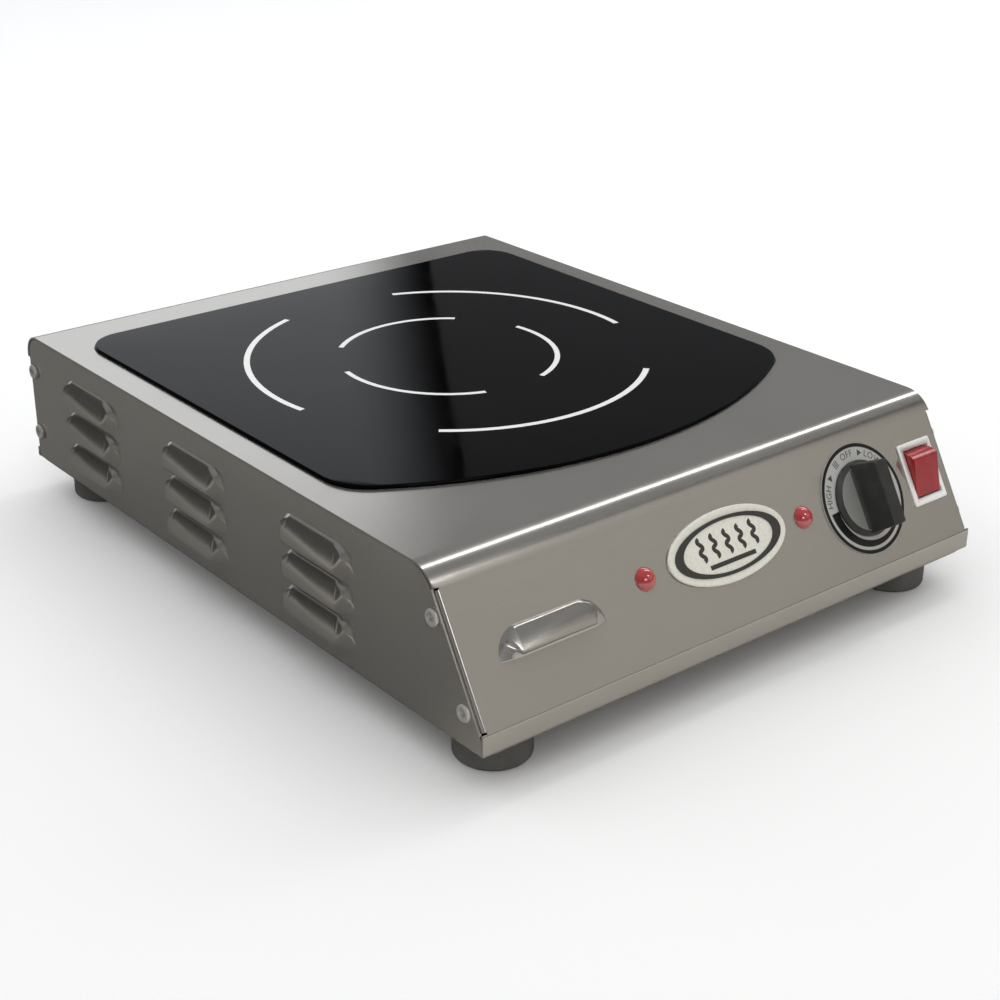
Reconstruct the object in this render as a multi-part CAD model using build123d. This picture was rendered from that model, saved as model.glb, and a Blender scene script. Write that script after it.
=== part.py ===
"""Countertop induction hob, built as its separate pieces.

Working frame: X to the right seen from the front, Y to the rear from the face of the front lip,
Z up from the surface that the feet stand on. The last step moves every piece so that the origin
is the middle of the whole hob's footprint.
"""
import os
from math import atan2, cos, degrees, hypot, radians, sin, sqrt, tan

from build123d import *

# ---------------------------------------------------------------- housing sheet metal
BODY_WIDTH = 325.0
TOP_DEPTH = 375.5          # rear face to the sharp corner where the top meets the control panel
SLOPE_RUN = 38.3           # how far forward the control panel reaches
SLOPE_DROP = 65.2          # how far down it reaches
LIP_HEIGHT = 11.7
SHEET = 1.2
SEAM = 0.1                 # play between folded sheets that lie on each other
TOP_BEND = 18.0            # outside radius, top to control panel
REAR_BEND = 12.0           # outside radius, top to rear wall
LIP_BEND = 2.5
EDGE_BEND = 1.5            # outside radius of the side flanges' folds
BOTTOM_BEND = 3.0
PANEL_SETBACK = 2.2        # side walls stop this far inside the control panel's face
RETURN_LENGTH = 8.0        # folded-under edge of lip and rear wall
BEND_STOP_RISE = 1.8       # side walls are this much shorter beside the floor's ends
FLANGE_DEPTH = 14.0
RELIEF_TOP = 9.4           # down the panel from the top corner to the fold relief
RELIEF_GAP = 1.0
REAR_RELIEF_TOP = 14.0

# ---------------------------------------------------------------- feet
FOOT_HEIGHT = 18.5
FOOT_DIAMETER = 36.8
FOOT_INSET = 27.6
FOOT_ROUND = 2.0
FOOT_SCREW_DIAMETER = 5.0
FOOT_SCREW_HEAD = 9.0
FOOT_SCREW_HEAD_HEIGHT = 3.0
FOOT_RECESS_DEPTH = 6.0

# ---------------------------------------------------------------- casing screws
SCREW_DIAMETER = 5.0
SCREW_HEAD = 8.5
SCREW_HEAD_HEIGHT = 1.9
SCREW_LENGTH = 8.0
HEAD_EDGE = 0.25           # share of a domed head's height that is its upright edge
SCREW_SOCKET = 3.3         # across flats
SCREW_SOCKET_DEPTH = 1.6
SCREW_INSET = 6.9          # from the panel's or rear wall's face to the screw's centre
SCREW_DROPS = (21.5, 58.2)
HOLE_PLAY = 0.25           # radial play of a screw in its hole
THREAD_PLAY = 0.05
NUT_DIAMETER = 8.6
NUT_LENGTH = 3.2

# ---------------------------------------------------------------- louvre hoods
HOOD_WIDTH = 60.5
HOOD_HEIGHT = 13.8
HOOD_CORNER = 12.75
HOOD_RISE = 5.5
HOOD_TAPER = 36.0          # lean of its upper wall from upright
HOOD_FACE_LENGTH = 41.0    # between the two end ramps
HOOD_FACE_FALL = 3.3       # how much lower the face's upper edge is than its crest
HOOD_LIP = 2.4             # band above the mouth that turns back in
HOOD_LIP_TURN = 0.6
HOOD_UNDERCUT = 10.0       # how far its shaping solids reach below the sheet
HOOD_COLUMN_PITCH = 109.0
HOOD_MIDDLE_FROM_REAR = 181.6
HOOD_ROW_PITCH = 18.6
HOOD_FIRST_MOUTH = 27.1    # from the top down to the first row's mouths
HOOD_ROWS = 3
FRONT_HOOD_X = -111.75
FRONT_HOOD_MOUTH = 49.2    # down the control panel

# ---------------------------------------------------------------- glass and its bed
GLASS_THICKNESS = 4.0
GLASS_PROUD = 1.9
GLASS_HALF_WIDTH = 146.0
GLASS_REAR_MARGIN = 36.5
GLASS_FRONT_FROM_REAR = 335.5
GLASS_FRONT_RADIUS = 250.0
GLASS_FRONT_CORNER = 27.0
GLASS_REAR_CORNER = 20.0
GLASS_EDGE_CHAMFER = 0.5
GLASS_GAP = 0.6            # to the edge of the cut-out
SEAL_THICKNESS = 1.0
SEAL_OUTREACH = 3.0        # silicone beyond the glass, under the sheet
FRAME_LEDGE = 9.0          # how far the frame reaches under the glass
FRAME_RIM = 5.0            # from the glass edge to the frame's upstand
ZONE_FROM_REAR = 179.8
MARK_THICKNESS = 0.1
OUTER_MARK_RADIUS = 109.0
OUTER_MARK_LINE = 3.3
OUTER_MARK_SWEEP = 80.0
INNER_MARK_RADIUS = 59.9
INNER_MARK_LINE = 2.9
INNER_MARK_SWEEP = 83.0
MARKS_PER_RING = 3

# ---------------------------------------------------------------- coil stack, from the glass down
STACK_GAP = 0.3
DISC_THICKNESS = 1.0
DISC_RADIUS = 106.0
WIRE_DIAMETER = 3.6
COIL_PITCH = 4.2
COIL_INNER_RADIUS = 24.0
COIL_TURNS = 18
TRAY_THICKNESS = 2.5
TRAY_RIM = 4.0
BAR_LENGTH = 62.0
BAR_WIDTH = 15.0
BAR_THICKNESS = 5.0
BAR_COUNT = 8
BAR_INNER_RADIUS = 36.0
SENSOR_DIAMETER = 10.0
SENSOR_HEIGHT = 4.0
SENSOR_HOLDER_WALL = 2.0
SPRING_WIDTH = 10.0
SPRING_THICKNESS = 0.6
SPRING_RADIUS = 88.0       # where the springs stand, from the zone's centre
DECK_HEIGHT = 48.0         # pillars' length
DECK_THICKNESS = 1.5
DECK_HALF_WIDTH = 132.0
DECK_HALF_DEPTH = 116.0
DECK_FLANGE = 8.0
LEAD_HOLE_X = 117.0
PILLAR_RADIUS = 4.5
PILLAR_X = 122.0
PILLAR_Y = 104.0
SMALL_SCREW = 3.0
SMALL_HEAD = 5.6
SMALL_HEAD_HEIGHT = 1.8

# ---------------------------------------------------------------- power board and fan
BOARD_WIDTH = 140.0
BOARD_DEPTH = 160.0
BOARD_THICKNESS = 1.6
BOARD_X = 38.0
BOARD_Y_FROM_ZONE = 4.0
STANDOFF_HEIGHT = 7.0
STANDOFF_RADIUS = 3.0
SINK_WIDTH = 52.0
SINK_LENGTH = 110.0
SINK_HEIGHT = 24.0
SINK_BASE = 5.0
SINK_FINS = 9
FIN_THICKNESS = 1.6
DEVICE_HEIGHT = 5.0
FAN_SIZE = 80.0
FAN_HEIGHT = 25.0
FAN_BORE = 75.0
FAN_HOLE_SPACING = 71.5
FAN_X = -78.0
FAN_Y_FROM_ZONE = -28.0
HUB_DIAMETER = 32.0
HUB_GAP = 0.6
FAN_SHAFT = 3.0
RUNNING_GAP = 0.05
BLADES = 7
BLADE_THICKNESS = 1.4
BLADE_TILT = 38.0
BLADE_GAP = 1.0
STRUT_THICKNESS = 3.0
INTAKE_SLOT = 4.5
INTAKE_PITCH = 9.0

# ---------------------------------------------------------------- control panel
KNOB_X = 95.5
KNOB_DOWN = 40.0
DIAL_DIAMETER = 56.5
DIAL_THICKNESS = 0.8
SKIRT_DIAMETER = 39.0
SKIRT_FACE_DIAMETER = 33.5
SKIRT_RIM_HEIGHT = 1.1
SKIRT_HEIGHT = 2.2
GRIP_WIDTH = 8.5
GRIP_LENGTH = 36.6
GRIP_TOP_LENGTH = 33.4
KNOB_HEIGHT = 19.6
GRIP_FILLET = 2.4
GRIP_EDGE_ROUND = 0.7
NUT_ROOM = 1.4             # space left round the nut's flats
SHAFT_REACH = 0.7          # share of the knob's height that the shaft's socket takes
KNOB_GAP = 0.3
SHAFT_DIAMETER = 6.0
BUSH_DIAMETER = 9.5
BUSH_LENGTH = 7.0
CONTROL_WIDTH = 37.0
CONTROL_DEPTH = 22.0
NUT_ACROSS = 14.0
NUT_HEIGHT = 2.0
ROCKER_X = 142.2
ROCKER_DOWN = 38.0
BEZEL_WIDTH = 24.8
BEZEL_HEIGHT = 32.8
BEZEL_THICKNESS = 1.2
ROCKER_OPENING_WIDTH = 19.0
ROCKER_OPENING_HEIGHT = 25.8
ROCKER_SIDE_GAP = 0.4
ROCKER_RADIUS = 12.6       # its ends are arcs about the pivot
ROCKER_PIVOT_DEPTH = 4.0
ROCKER_FACE_HEIGHT = 7.8   # above the pivot, level position
ROCKER_TILT = 18.0
ROCKER_PIN = 3.0
SWITCH_BODY_DEPTH = 24.0
SWITCH_WALL = 1.4
PILOT_XS = (-53.0, 52.5)
PILOT_DOWN = 38.0
LENS_DIAMETER = 11.5
LENS_DOME = 4.2
LENS_STEM = 8.0
PILOT_HOLDER_DIAMETER = 10.0
PILOT_HOLDER_DEPTH = 18.0
BADGE_DOWN = 37.0
BADGE_WIDTH = 77.0
BADGE_HEIGHT = 35.0
BADGE_THICKNESS = 1.6
BADGE_RING_INSET = 3.8
BADGE_RING_WIDTH = 1.7      # above and below
BADGE_RING_END_WIDTH = 5.4  # at its two ends
BADGE_RING_PROUD = 0.3
BADGE_EDGE_ROUND = 0.7

# ---------------------------------------------------------------- rear entry
GLAND_X = 112.0
GLAND_ABOVE_FLOOR = 24.0
GLAND_THREAD = 16.0
GLAND_BORE = 9.0
GLAND_HEX = 22.0
GLAND_HEX_LENGTH = 6.0
GLAND_CAP_LENGTH = 15.0
GLAND_THREAD_LENGTH = 12.0
LEAD_DIAMETER = 2.6
LEAD_RISE = 12.0           # upright end of a lead above the board

# ---------------------------------------------------------------- worked-out places
HALF_WIDTH = BODY_WIDTH / 2
BODY_DEPTH = TOP_DEPTH + SLOPE_RUN
BASE_Z = FOOT_HEIGHT
FLOOR_Z = BASE_Z + SHEET
TOP_Z = BASE_Z + LIP_HEIGHT + SLOPE_DROP
SLOPE_LENGTH = hypot(SLOPE_RUN, SLOPE_DROP)
FLANGE_X = HALF_WIDTH - SHEET - SEAM
CORE_X = FLANGE_X - EDGE_BEND
ZONE_Y = BODY_DEPTH - ZONE_FROM_REAR
GLASS_TOP = TOP_Z + GLASS_PROUD
GLASS_BOTTOM = GLASS_TOP - GLASS_THICKNESS
FRAME_TOP = GLASS_BOTTOM - SEAL_THICKNESS
DISC_TOP = GLASS_BOTTOM - STACK_GAP
COIL_TOP = DISC_TOP - DISC_THICKNESS - STACK_GAP
COIL_MID = COIL_TOP - WIRE_DIAMETER / 2
TRAY_TOP = COIL_TOP - WIRE_DIAMETER
COIL_OUTER_RADIUS = COIL_INNER_RADIUS + COIL_PITCH * COIL_TURNS
TRAY_RADIUS = COIL_OUTER_RADIUS + TRAY_RIM
BAR_TOP = TRAY_TOP - TRAY_THICKNESS
DECK_Z = FLOOR_Z + DECK_HEIGHT
DECK_TOP = DECK_Z + DECK_THICKNESS
BOARD_Z = FLOOR_Z + STANDOFF_HEIGHT
BOARD_TOP = BOARD_Z + BOARD_THICKNESS
BOARD_Y = ZONE_Y + BOARD_Y_FROM_ZONE
FAN_Y = ZONE_Y + FAN_Y_FROM_ZONE
GLAND_Z = FLOOR_Z + GLAND_ABOVE_FLOOR

# Faces that carry parts: local x across, local y up the face, local z outward.
SLOPE = Plane(origin=(0, SLOPE_RUN, TOP_Z), x_dir=(1, 0, 0), z_dir=(0, -SLOPE_DROP, SLOPE_RUN))
REAR = Plane(origin=(0, BODY_DEPTH, TOP_Z), x_dir=(-1, 0, 0), z_dir=(0, 1, 0))


# ---------------------------------------------------------------- helpers
def on_panel(x, down, shape, out=0.0):
    """Place a shape made about the origin on the control panel's outer face."""
    return SLOPE.location * Pos(x, -down, out) * shape


def cylinder_up(radius, height, x=0.0, y=0.0, z=0.0):
    """Upright cylinder whose lower end is at z."""
    return Pos(x, y, z + height / 2) * Cylinder(radius, height)


def block_up(width, depth, height, x=0.0, y=0.0, z=0.0):
    """Upright block whose lower face is at z."""
    return Pos(x, y, z + height / 2) * Box(width, depth, height)


def slope_y(z, inside=0.0):
    """Y of the control panel's face at height z, or of the line that far inside it."""
    return SLOPE_RUN - (TOP_Z - z) * SLOPE_RUN / SLOPE_DROP + inside * SLOPE_LENGTH / SLOPE_DROP


def side_profile(front, slope, top, rear, bottom, bends):
    """Side view of the housing, each of its five faces moved in by its own amount."""
    high = TOP_Z - top
    low = BASE_Z + bottom
    lip_z = TOP_Z - (slope_y(TOP_Z, slope) - front) * SLOPE_DROP / SLOPE_RUN
    corners = [
        (front, low),
        (front, lip_z),
        (slope_y(high, slope), high),
        (BODY_DEPTH - rear, high),
        (BODY_DEPTH - rear, low),
    ]
    face = make_face(Polyline(*corners, close=True))
    for corner, radius in zip(corners, bends):
        if radius > 0:
            face = fillet(face.vertices().sort_by_distance((*corner, 0))[0], radius)
    return face


def across(profile, half_width):
    """Extrude a side view to both sides of the middle plane."""
    return extrude(Plane.YZ * profile, amount=half_width, both=True)


def both_sides(shape):
    """A shape and its mirror image in the middle plane."""
    return [shape, mirror(shape, about=Plane.YZ)]


def screw_spots():
    """(y, z) of the four casing screws of one side."""
    spots = []
    for drop in SCREW_DROPS:
        z = TOP_Z - drop
        spots.append((slope_y(z, SCREW_INSET), z))
        spots.append((BODY_DEPTH - SCREW_INSET, z))
    return spots


def foot_spots():
    """Name and (x, y) of each foot."""
    x = HALF_WIDTH - FOOT_INSET
    return {
        "front_left": (-x, FOOT_INSET),
        "front_right": (x, FOOT_INSET),
        "rear_left": (-x, BODY_DEPTH - FOOT_INSET),
        "rear_right": (x, BODY_DEPTH - FOOT_INSET),
    }


def corner_spots(half_x, half_y, x=0.0, y=0.0):
    """Four corners of a rectangle about (x, y)."""
    return [(x + i * half_x, y + j * half_y) for i in (-1, 1) for j in (-1, 1)]


def pan_head_screw(diameter, length, head, head_height):
    """Screw that points down from the XY plane, with its head above it."""
    rise = head_height * (1 - HEAD_EDGE)
    dome = ((head / 2) ** 2 + rise**2) / (2 * rise)
    cap = cylinder_up(head / 2, head_height) & Pos(0, 0, head_height - dome) * Sphere(dome)
    slot = block_up(head * 0.7, head * 0.16, head_height, z=head_height * 0.55)
    cross = slot + Rot(0, 0, 90) * slot
    return cap + cylinder_up(diameter / 2, length, z=-length) - cross


def hood_roof(lowered):
    """What lies under the louvre's lip, face and end ramps, lowered for the hollow."""
    face_top = HOOD_HEIGHT - (HOOD_RISE - HOOD_FACE_FALL) * tan(radians(HOOD_TAPER))
    fall = HOOD_FACE_FALL / (face_top - HOOD_LIP)
    crest = HOOD_RISE - lowered
    from_side = [
        (0, -HOOD_UNDERCUT),
        (HOOD_HEIGHT, -HOOD_UNDERCUT),
        (HOOD_HEIGHT, crest - fall * (HOOD_HEIGHT - HOOD_LIP)),
        (HOOD_LIP, crest),
        (0, crest - HOOD_LIP_TURN),
    ]
    half = HOOD_WIDTH / 2
    along = [
        (-half, -HOOD_UNDERCUT),
        (half, -HOOD_UNDERCUT),
        (half, -lowered),
        (HOOD_FACE_LENGTH / 2, crest),
        (-HOOD_FACE_LENGTH / 2, crest),
        (-half, -lowered),
    ]
    face = extrude(Plane.YZ * make_face(Polyline(*from_side, close=True)), amount=half, both=True)
    ends = extrude(Plane.XZ * make_face(Polyline(*along, close=True)), amount=HOOD_HEIGHT, both=True)
    return face & ends


def hood_pad(shrink, lowest, rise):
    """Louvre's outer shape, or its hollow when shrunk.

    It stands on the XY plane with its mouth on y = 0 and its closed side at +y.
    """
    base = RectangleRounded(HOOD_WIDTH - 2 * shrink, 2 * (HOOD_HEIGHT - shrink), HOOD_CORNER - shrink)
    pad = extrude(base, amount=rise, taper=HOOD_TAPER) + extrude(base, amount=lowest)
    ramp = hypot(HOOD_RISE, (HOOD_WIDTH - HOOD_FACE_LENGTH) / 2)
    lowered = shrink * ramp * 2 / (HOOD_WIDTH - HOOD_FACE_LENGTH)
    return pad & hood_roof(lowered)


def hood_pair():
    """The louvre's outer solid, which starts inside the sheet, and the hollow that is cut from it."""
    outer = hood_pad(0.0, -SHEET / 2, HOOD_RISE)
    hollow = hood_pad(SHEET, -2 * SHEET, HOOD_RISE - SHEET)
    return outer, hollow


def hood_frames():
    """Location of each louvre of the two side walls, at the middle of its mouth."""
    frames = []
    for side in (-1, 1):
        for column in (-1, 0, 1):
            for row in range(HOOD_ROWS):
                y = BODY_DEPTH - HOOD_MIDDLE_FROM_REAR + column * HOOD_COLUMN_PITCH
                z = TOP_Z - HOOD_FIRST_MOUTH - row * HOOD_ROW_PITCH
                plane = Plane(origin=(side * HALF_WIDTH, y, z), x_dir=(0, side, 0), z_dir=(side, 0, 0))
                frames.append(plane.location)
    return frames


def wire_tube(points, diameter):
    """Round lead along straight runs joined by arcs as large as the runs allow."""
    spots = [Vector(*point) for point in points]
    radii = []
    for before, here, after in zip(spots, spots[1:], spots[2:]):
        turn = radians((here - before).get_angle(after - here))
        shorter = min((here - before).length, (after - here).length)
        radii.append(0.45 * shorter / tan(turn / 2))
    path = FilletPolyline(*spots, radius=radii)
    start = Plane(origin=path @ 0, z_dir=path % 0)
    return sweep(start * Circle(diameter / 2), path=path)


# ---------------------------------------------------------------- casing
def edge_flanges(face, start, end):
    """Rounded fold and inner flange along both edges of a face, between two distances down it."""
    depth_plane = Plane(
        origin=face.from_local_coords((0, -start, 0)), x_dir=face.x_dir, z_dir=face.y_dir * -1
    )
    inner = FLANGE_X - SHEET
    outline = [
        (CORE_X, 0),
        (FLANGE_X, 0),
        (FLANGE_X, -FLANGE_DEPTH),
        (inner, -FLANGE_DEPTH),
        (inner, -SHEET),
        (CORE_X, -SHEET),
    ]
    section = make_face(Polyline(*outline, close=True))
    section = fillet(section.vertices().sort_by_distance((FLANGE_X, 0, 0))[0], EDGE_BEND)
    section = fillet(section.vertices().sort_by_distance((inner, -SHEET, 0))[0], EDGE_BEND - SHEET)
    return both_sides(extrude(depth_plane * section, amount=end - start))


def edge_cuts(face, start, end):
    """Room for the side flanges: what is taken off both edges of a face."""
    width = HALF_WIDTH
    strip = Box(width, end - start, 2 * FLANGE_DEPTH)
    placed = face.location * Pos(CORE_X + width / 2, -(start + end) / 2, 0) * strip
    return both_sides(placed)


def glass_outline(grow=0.0):
    """Outline of the glass in the XY plane, moved outward by grow."""
    side = GLASS_HALF_WIDTH + grow
    rear = BODY_DEPTH - GLASS_REAR_MARGIN + grow
    radius = GLASS_FRONT_RADIUS + grow
    apex = BODY_DEPTH - GLASS_FRONT_FROM_REAR - grow
    centre = apex + radius
    shoulder = centre - sqrt(radius**2 - side**2)
    bow = ThreePointArc((-side, shoulder), (0, apex), (side, shoulder))
    sides = Polyline((side, shoulder), (side, rear), (-side, rear), (-side, shoulder))
    face = make_face(bow + sides)
    for x in (-side, side):
        face = fillet(face.vertices().sort_by_distance((x, shoulder, 0))[0], GLASS_FRONT_CORNER + grow)
        face = fillet(face.vertices().sort_by_distance((x, rear, 0))[0], GLASS_REAR_CORNER + grow)
    return face


def glass_prism(grow, bottom, top):
    """Upright prism on the glass outline."""
    return extrude(Pos(0, 0, bottom) * glass_outline(grow), amount=top - bottom)


def base_pan():
    """Floor and two side walls, folded from one sheet, with the louvres and the fan intake."""
    inside = SHEET + SEAM
    bends = (0, 0, TOP_BEND - inside, REAR_BEND - inside, 0)
    wall = side_profile(inside, PANEL_SETBACK, inside, PANEL_SETBACK, 0, bends)
    tall = TOP_Z - BASE_Z
    outer = Rectangle(BODY_WIDTH, 2 * tall)
    outer = fillet(outer.vertices().group_by(Axis.Y)[0], BOTTOM_BEND)
    inner = Rectangle(BODY_WIDTH - 2 * SHEET, 2 * tall)
    inner = fillet(inner.vertices().group_by(Axis.Y)[0], BOTTOM_BEND - SHEET)
    section = outer - Pos(0, SHEET) * inner
    trough = extrude(Plane.XZ * Pos(0, BASE_Z + tall) * section, amount=-BODY_DEPTH)
    pan = trough & across(wall, HALF_WIDTH)
    end = RETURN_LENGTH + SEAM
    for y in (end / 2, BODY_DEPTH - end / 2):
        pan -= block_up(BODY_WIDTH, end, BEND_STOP_RISE, y=y, z=BASE_Z)
    outer_hood, hollow = hood_pair()
    frames = hood_frames()
    pan += [frame * outer_hood for frame in frames]
    pan -= [frame * hollow for frame in frames]
    for y, z in screw_spots():
        pan -= Pos(0, y, z) * Rot(0, 90, 0) * Cylinder(SCREW_DIAMETER / 2 + HOLE_PLAY, 2 * BODY_WIDTH)
    for x, y in foot_spots().values():
        pan -= cylinder_up(FOOT_SCREW_DIAMETER / 2 + HOLE_PLAY, 4 * SHEET, x, y, BASE_Z - SHEET)
    for x, y in corner_spots(FAN_HOLE_SPACING / 2, FAN_HOLE_SPACING / 2, FAN_X, FAN_Y):
        pan -= cylinder_up(SMALL_SCREW / 2 + HOLE_PLAY, 4 * SHEET, x, y, BASE_Z - SHEET)
    reach = FAN_BORE / 2 - INTAKE_SLOT
    rows = int(reach / INTAKE_PITCH)
    for row in range(-rows, rows + 1):
        offset = row * INTAKE_PITCH
        length = 2 * sqrt(reach**2 - offset**2)
        slot = SlotOverall(max(length, 2 * INTAKE_SLOT), INTAKE_SLOT)
        pan -= extrude(Pos(FAN_X, FAN_Y + offset, BASE_Z) * slot, amount=2 * SHEET, both=True)
    return pan


def top_cover():
    """Lip, control panel, top and rear wall, folded from one sheet."""
    bends = (BOTTOM_BEND, LIP_BEND, TOP_BEND, REAR_BEND, BOTTOM_BEND)
    inner_bends = [radius - SHEET for radius in bends]
    band = side_profile(0, 0, 0, 0, 0, bends)
    band -= side_profile(SHEET, SHEET, SHEET, SHEET, SHEET, inner_bends)
    band -= Pos(BODY_DEPTH / 2, BASE_Z) * Rectangle(BODY_DEPTH - 2 * RETURN_LENGTH, 4 * SHEET)
    cover = across(band, HALF_WIDTH)
    slope_end = SLOPE_LENGTH - RELIEF_GAP
    rear_end = TOP_Z - BASE_Z - RETURN_LENGTH
    cover -= edge_cuts(SLOPE, RELIEF_TOP, slope_end)
    cover -= edge_cuts(REAR, REAR_RELIEF_TOP, rear_end + RELIEF_GAP)
    cover += edge_flanges(SLOPE, RELIEF_TOP + RELIEF_GAP, slope_end - RELIEF_GAP)
    cover += edge_flanges(REAR, REAR_RELIEF_TOP + RELIEF_GAP, rear_end)
    for x in (-HALF_WIDTH, HALF_WIDTH):
        for y in (0, BODY_DEPTH):
            cover -= block_up(2 * RETURN_LENGTH, 4 * RETURN_LENGTH, BEND_STOP_RISE, x, y, BASE_Z)
    cover -= glass_prism(GLASS_GAP, TOP_Z - 2 * SHEET, TOP_Z + SHEET)
    outer_hood, hollow = hood_pair()
    cover += on_panel(FRONT_HOOD_X, FRONT_HOOD_MOUTH, outer_hood)
    cover -= on_panel(FRONT_HOOD_X, FRONT_HOOD_MOUTH, hollow)
    for y, z in screw_spots():
        cover -= Pos(0, y, z) * Rot(0, 90, 0) * Cylinder(SCREW_DIAMETER / 2 + HOLE_PLAY, 2 * BODY_WIDTH)
    cover -= on_panel(KNOB_X, KNOB_DOWN, Cylinder(BUSH_DIAMETER / 2 + HOLE_PLAY, 4 * SHEET))
    cover -= on_panel(ROCKER_X, ROCKER_DOWN, Box(*switch_cutout(HOLE_PLAY), 4 * SHEET))
    for x in PILOT_XS:
        cover -= on_panel(x, PILOT_DOWN, Cylinder(PILOT_HOLDER_DIAMETER / 2 + HOLE_PLAY, 4 * SHEET))
    gland_hole = Cylinder(GLAND_THREAD / 2 + HOLE_PLAY, 4 * SHEET)
    cover -= Pos(GLAND_X, BODY_DEPTH, GLAND_Z) * Rot(90, 0, 0) * gland_hole
    return cover


def side_screw(x, y, z):
    """Button-head screw that enters the wall at x from outside."""
    half = SCREW_HEAD_HEIGHT / 2
    head = fillet(cylinder_up(SCREW_HEAD / 2, SCREW_HEAD_HEIGHT).edges().sort_by(Axis.Z)[-1], half)
    shank = cylinder_up(SCREW_DIAMETER / 2, SCREW_LENGTH, z=-SCREW_LENGTH)
    socket = RegularPolygon(SCREW_SOCKET / 2, 6, major_radius=False)
    recess = extrude(Pos(0, 0, SCREW_HEAD_HEIGHT) * socket, amount=-SCREW_SOCKET_DEPTH)
    turn = 90 if x > 0 else -90
    return Pos(x, y, z) * Rot(0, turn, 0) * (head + shank - recess)


def cover_screws():
    """The eight screws that hold the cover between the side walls."""
    return [side_screw(side * HALF_WIDTH, y, z) for side in (-1, 1) for y, z in screw_spots()]


def clinch_nuts():
    """Nuts fixed to the inside of the cover's flanges."""
    x = FLANGE_X - SHEET - NUT_LENGTH / 2
    ring = Cylinder(NUT_DIAMETER / 2, NUT_LENGTH)
    ring -= Cylinder(SCREW_DIAMETER / 2 + THREAD_PLAY, NUT_LENGTH)
    return [Pos(side * x, y, z) * Rot(0, 90, 0) * ring for side in (-1, 1) for y, z in screw_spots()]


def foot(x, y):
    """Rubber foot with a recess for its screw."""
    body = cylinder_up(FOOT_DIAMETER / 2, FOOT_HEIGHT)
    body = fillet(body.edges().sort_by(Axis.Z)[0], FOOT_ROUND)
    body -= cylinder_up(FOOT_SCREW_HEAD / 2 + HOLE_PLAY, FOOT_RECESS_DEPTH)
    body -= cylinder_up(FOOT_SCREW_DIAMETER / 2 + HOLE_PLAY, FOOT_HEIGHT)
    return Pos(x, y, 0) * body


def foot_screws():
    """Screws up through the feet into the floor, each with its nut inside."""
    length = FOOT_HEIGHT - FOOT_RECESS_DEPTH + SHEET + NUT_HEIGHT + 1.0
    screw = pan_head_screw(FOOT_SCREW_DIAMETER, length, FOOT_SCREW_HEAD, FOOT_SCREW_HEAD_HEIGHT)
    screw = Pos(0, 0, FOOT_RECESS_DEPTH) * Rot(180, 0, 0) * screw
    return [Pos(x, y, 0) * screw for x, y in foot_spots().values()]


def foot_nuts():
    """Nuts on the floor above the feet."""
    nut = extrude(RegularPolygon(FOOT_SCREW_HEAD / 2, 6), amount=NUT_HEIGHT)
    nut -= cylinder_up(FOOT_SCREW_DIAMETER / 2 + THREAD_PLAY, NUT_HEIGHT)
    return [Pos(x, y, FLOOR_Z) * nut for x, y in foot_spots().values()]


# ---------------------------------------------------------------- glass
def glass_plate():
    """Glass-ceramic plate with seamed upper edge, shallowly sunk where the marking is fired in."""
    plate = glass_prism(0.0, GLASS_BOTTOM, GLASS_TOP)
    plate = chamfer(plate.faces().sort_by(Axis.Z)[-1].edges(), GLASS_EDGE_CHAMFER)
    return plate - zone_marking()


def zone_marking():
    """Ring segments fired into the glass, flush with it: two broken circles about the zone's centre."""
    marks = []
    rings = (
        (OUTER_MARK_RADIUS, OUTER_MARK_LINE, OUTER_MARK_SWEEP, 30.0),
        (INNER_MARK_RADIUS, INNER_MARK_LINE, INNER_MARK_SWEEP, 90.0),
    )
    for radius, line, sweep_angle, first in rings:
        for index in range(MARKS_PER_RING):
            middle = first + index * 360 / MARKS_PER_RING
            band = Circle(radius + line / 2) - Circle(radius - line / 2)
            far = 2 * radius
            half = radians(sweep_angle / 2)
            reach = far / cos(half)
            wedge = make_face(
                Polyline((0, 0), (reach * cos(half), -reach * sin(half)), (reach * cos(half), reach * sin(half)),
                         close=True)
            )
            arc = Rot(0, 0, middle) * (band & wedge)
            marks.append(extrude(Pos(0, ZONE_Y, GLASS_TOP) * arc, amount=-MARK_THICKNESS))
    return marks


def glass_seal():
    """Silicone bed under the glass edge, up into the gap round it."""
    inner = -FRAME_LEDGE
    bed = glass_prism(SEAL_OUTREACH, FRAME_TOP, GLASS_BOTTOM) - glass_prism(inner, FRAME_TOP, GLASS_BOTTOM)
    collar = glass_prism(SEAL_OUTREACH, GLASS_BOTTOM, TOP_Z - SHEET) - glass_prism(0, GLASS_BOTTOM, TOP_Z)
    lip = glass_prism(GLASS_GAP, TOP_Z - SHEET, TOP_Z) - glass_prism(0, TOP_Z - SHEET, TOP_Z)
    return bed + collar + lip


def glass_frame():
    """Angle-section frame under the cut-out that carries glass and seal."""
    bottom = FRAME_TOP - SHEET
    ledge = glass_prism(FRAME_RIM, bottom, FRAME_TOP) - glass_prism(-FRAME_LEDGE, bottom, FRAME_TOP)
    rim_inner = glass_prism(FRAME_RIM - SHEET, FRAME_TOP, TOP_Z - SHEET)
    return ledge + (glass_prism(FRAME_RIM, FRAME_TOP, TOP_Z - SHEET) - rim_inner)


# ---------------------------------------------------------------- coil stack
def insulation_disc():
    """Mica disc between coil and glass, open in the middle for the sensor."""
    z = DISC_TOP - DISC_THICKNESS
    disc = cylinder_up(DISC_RADIUS, DISC_THICKNESS, 0, ZONE_Y, z)
    return disc - cylinder_up(SENSOR_DIAMETER / 2 + 1, DISC_THICKNESS, 0, ZONE_Y, z)


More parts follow.
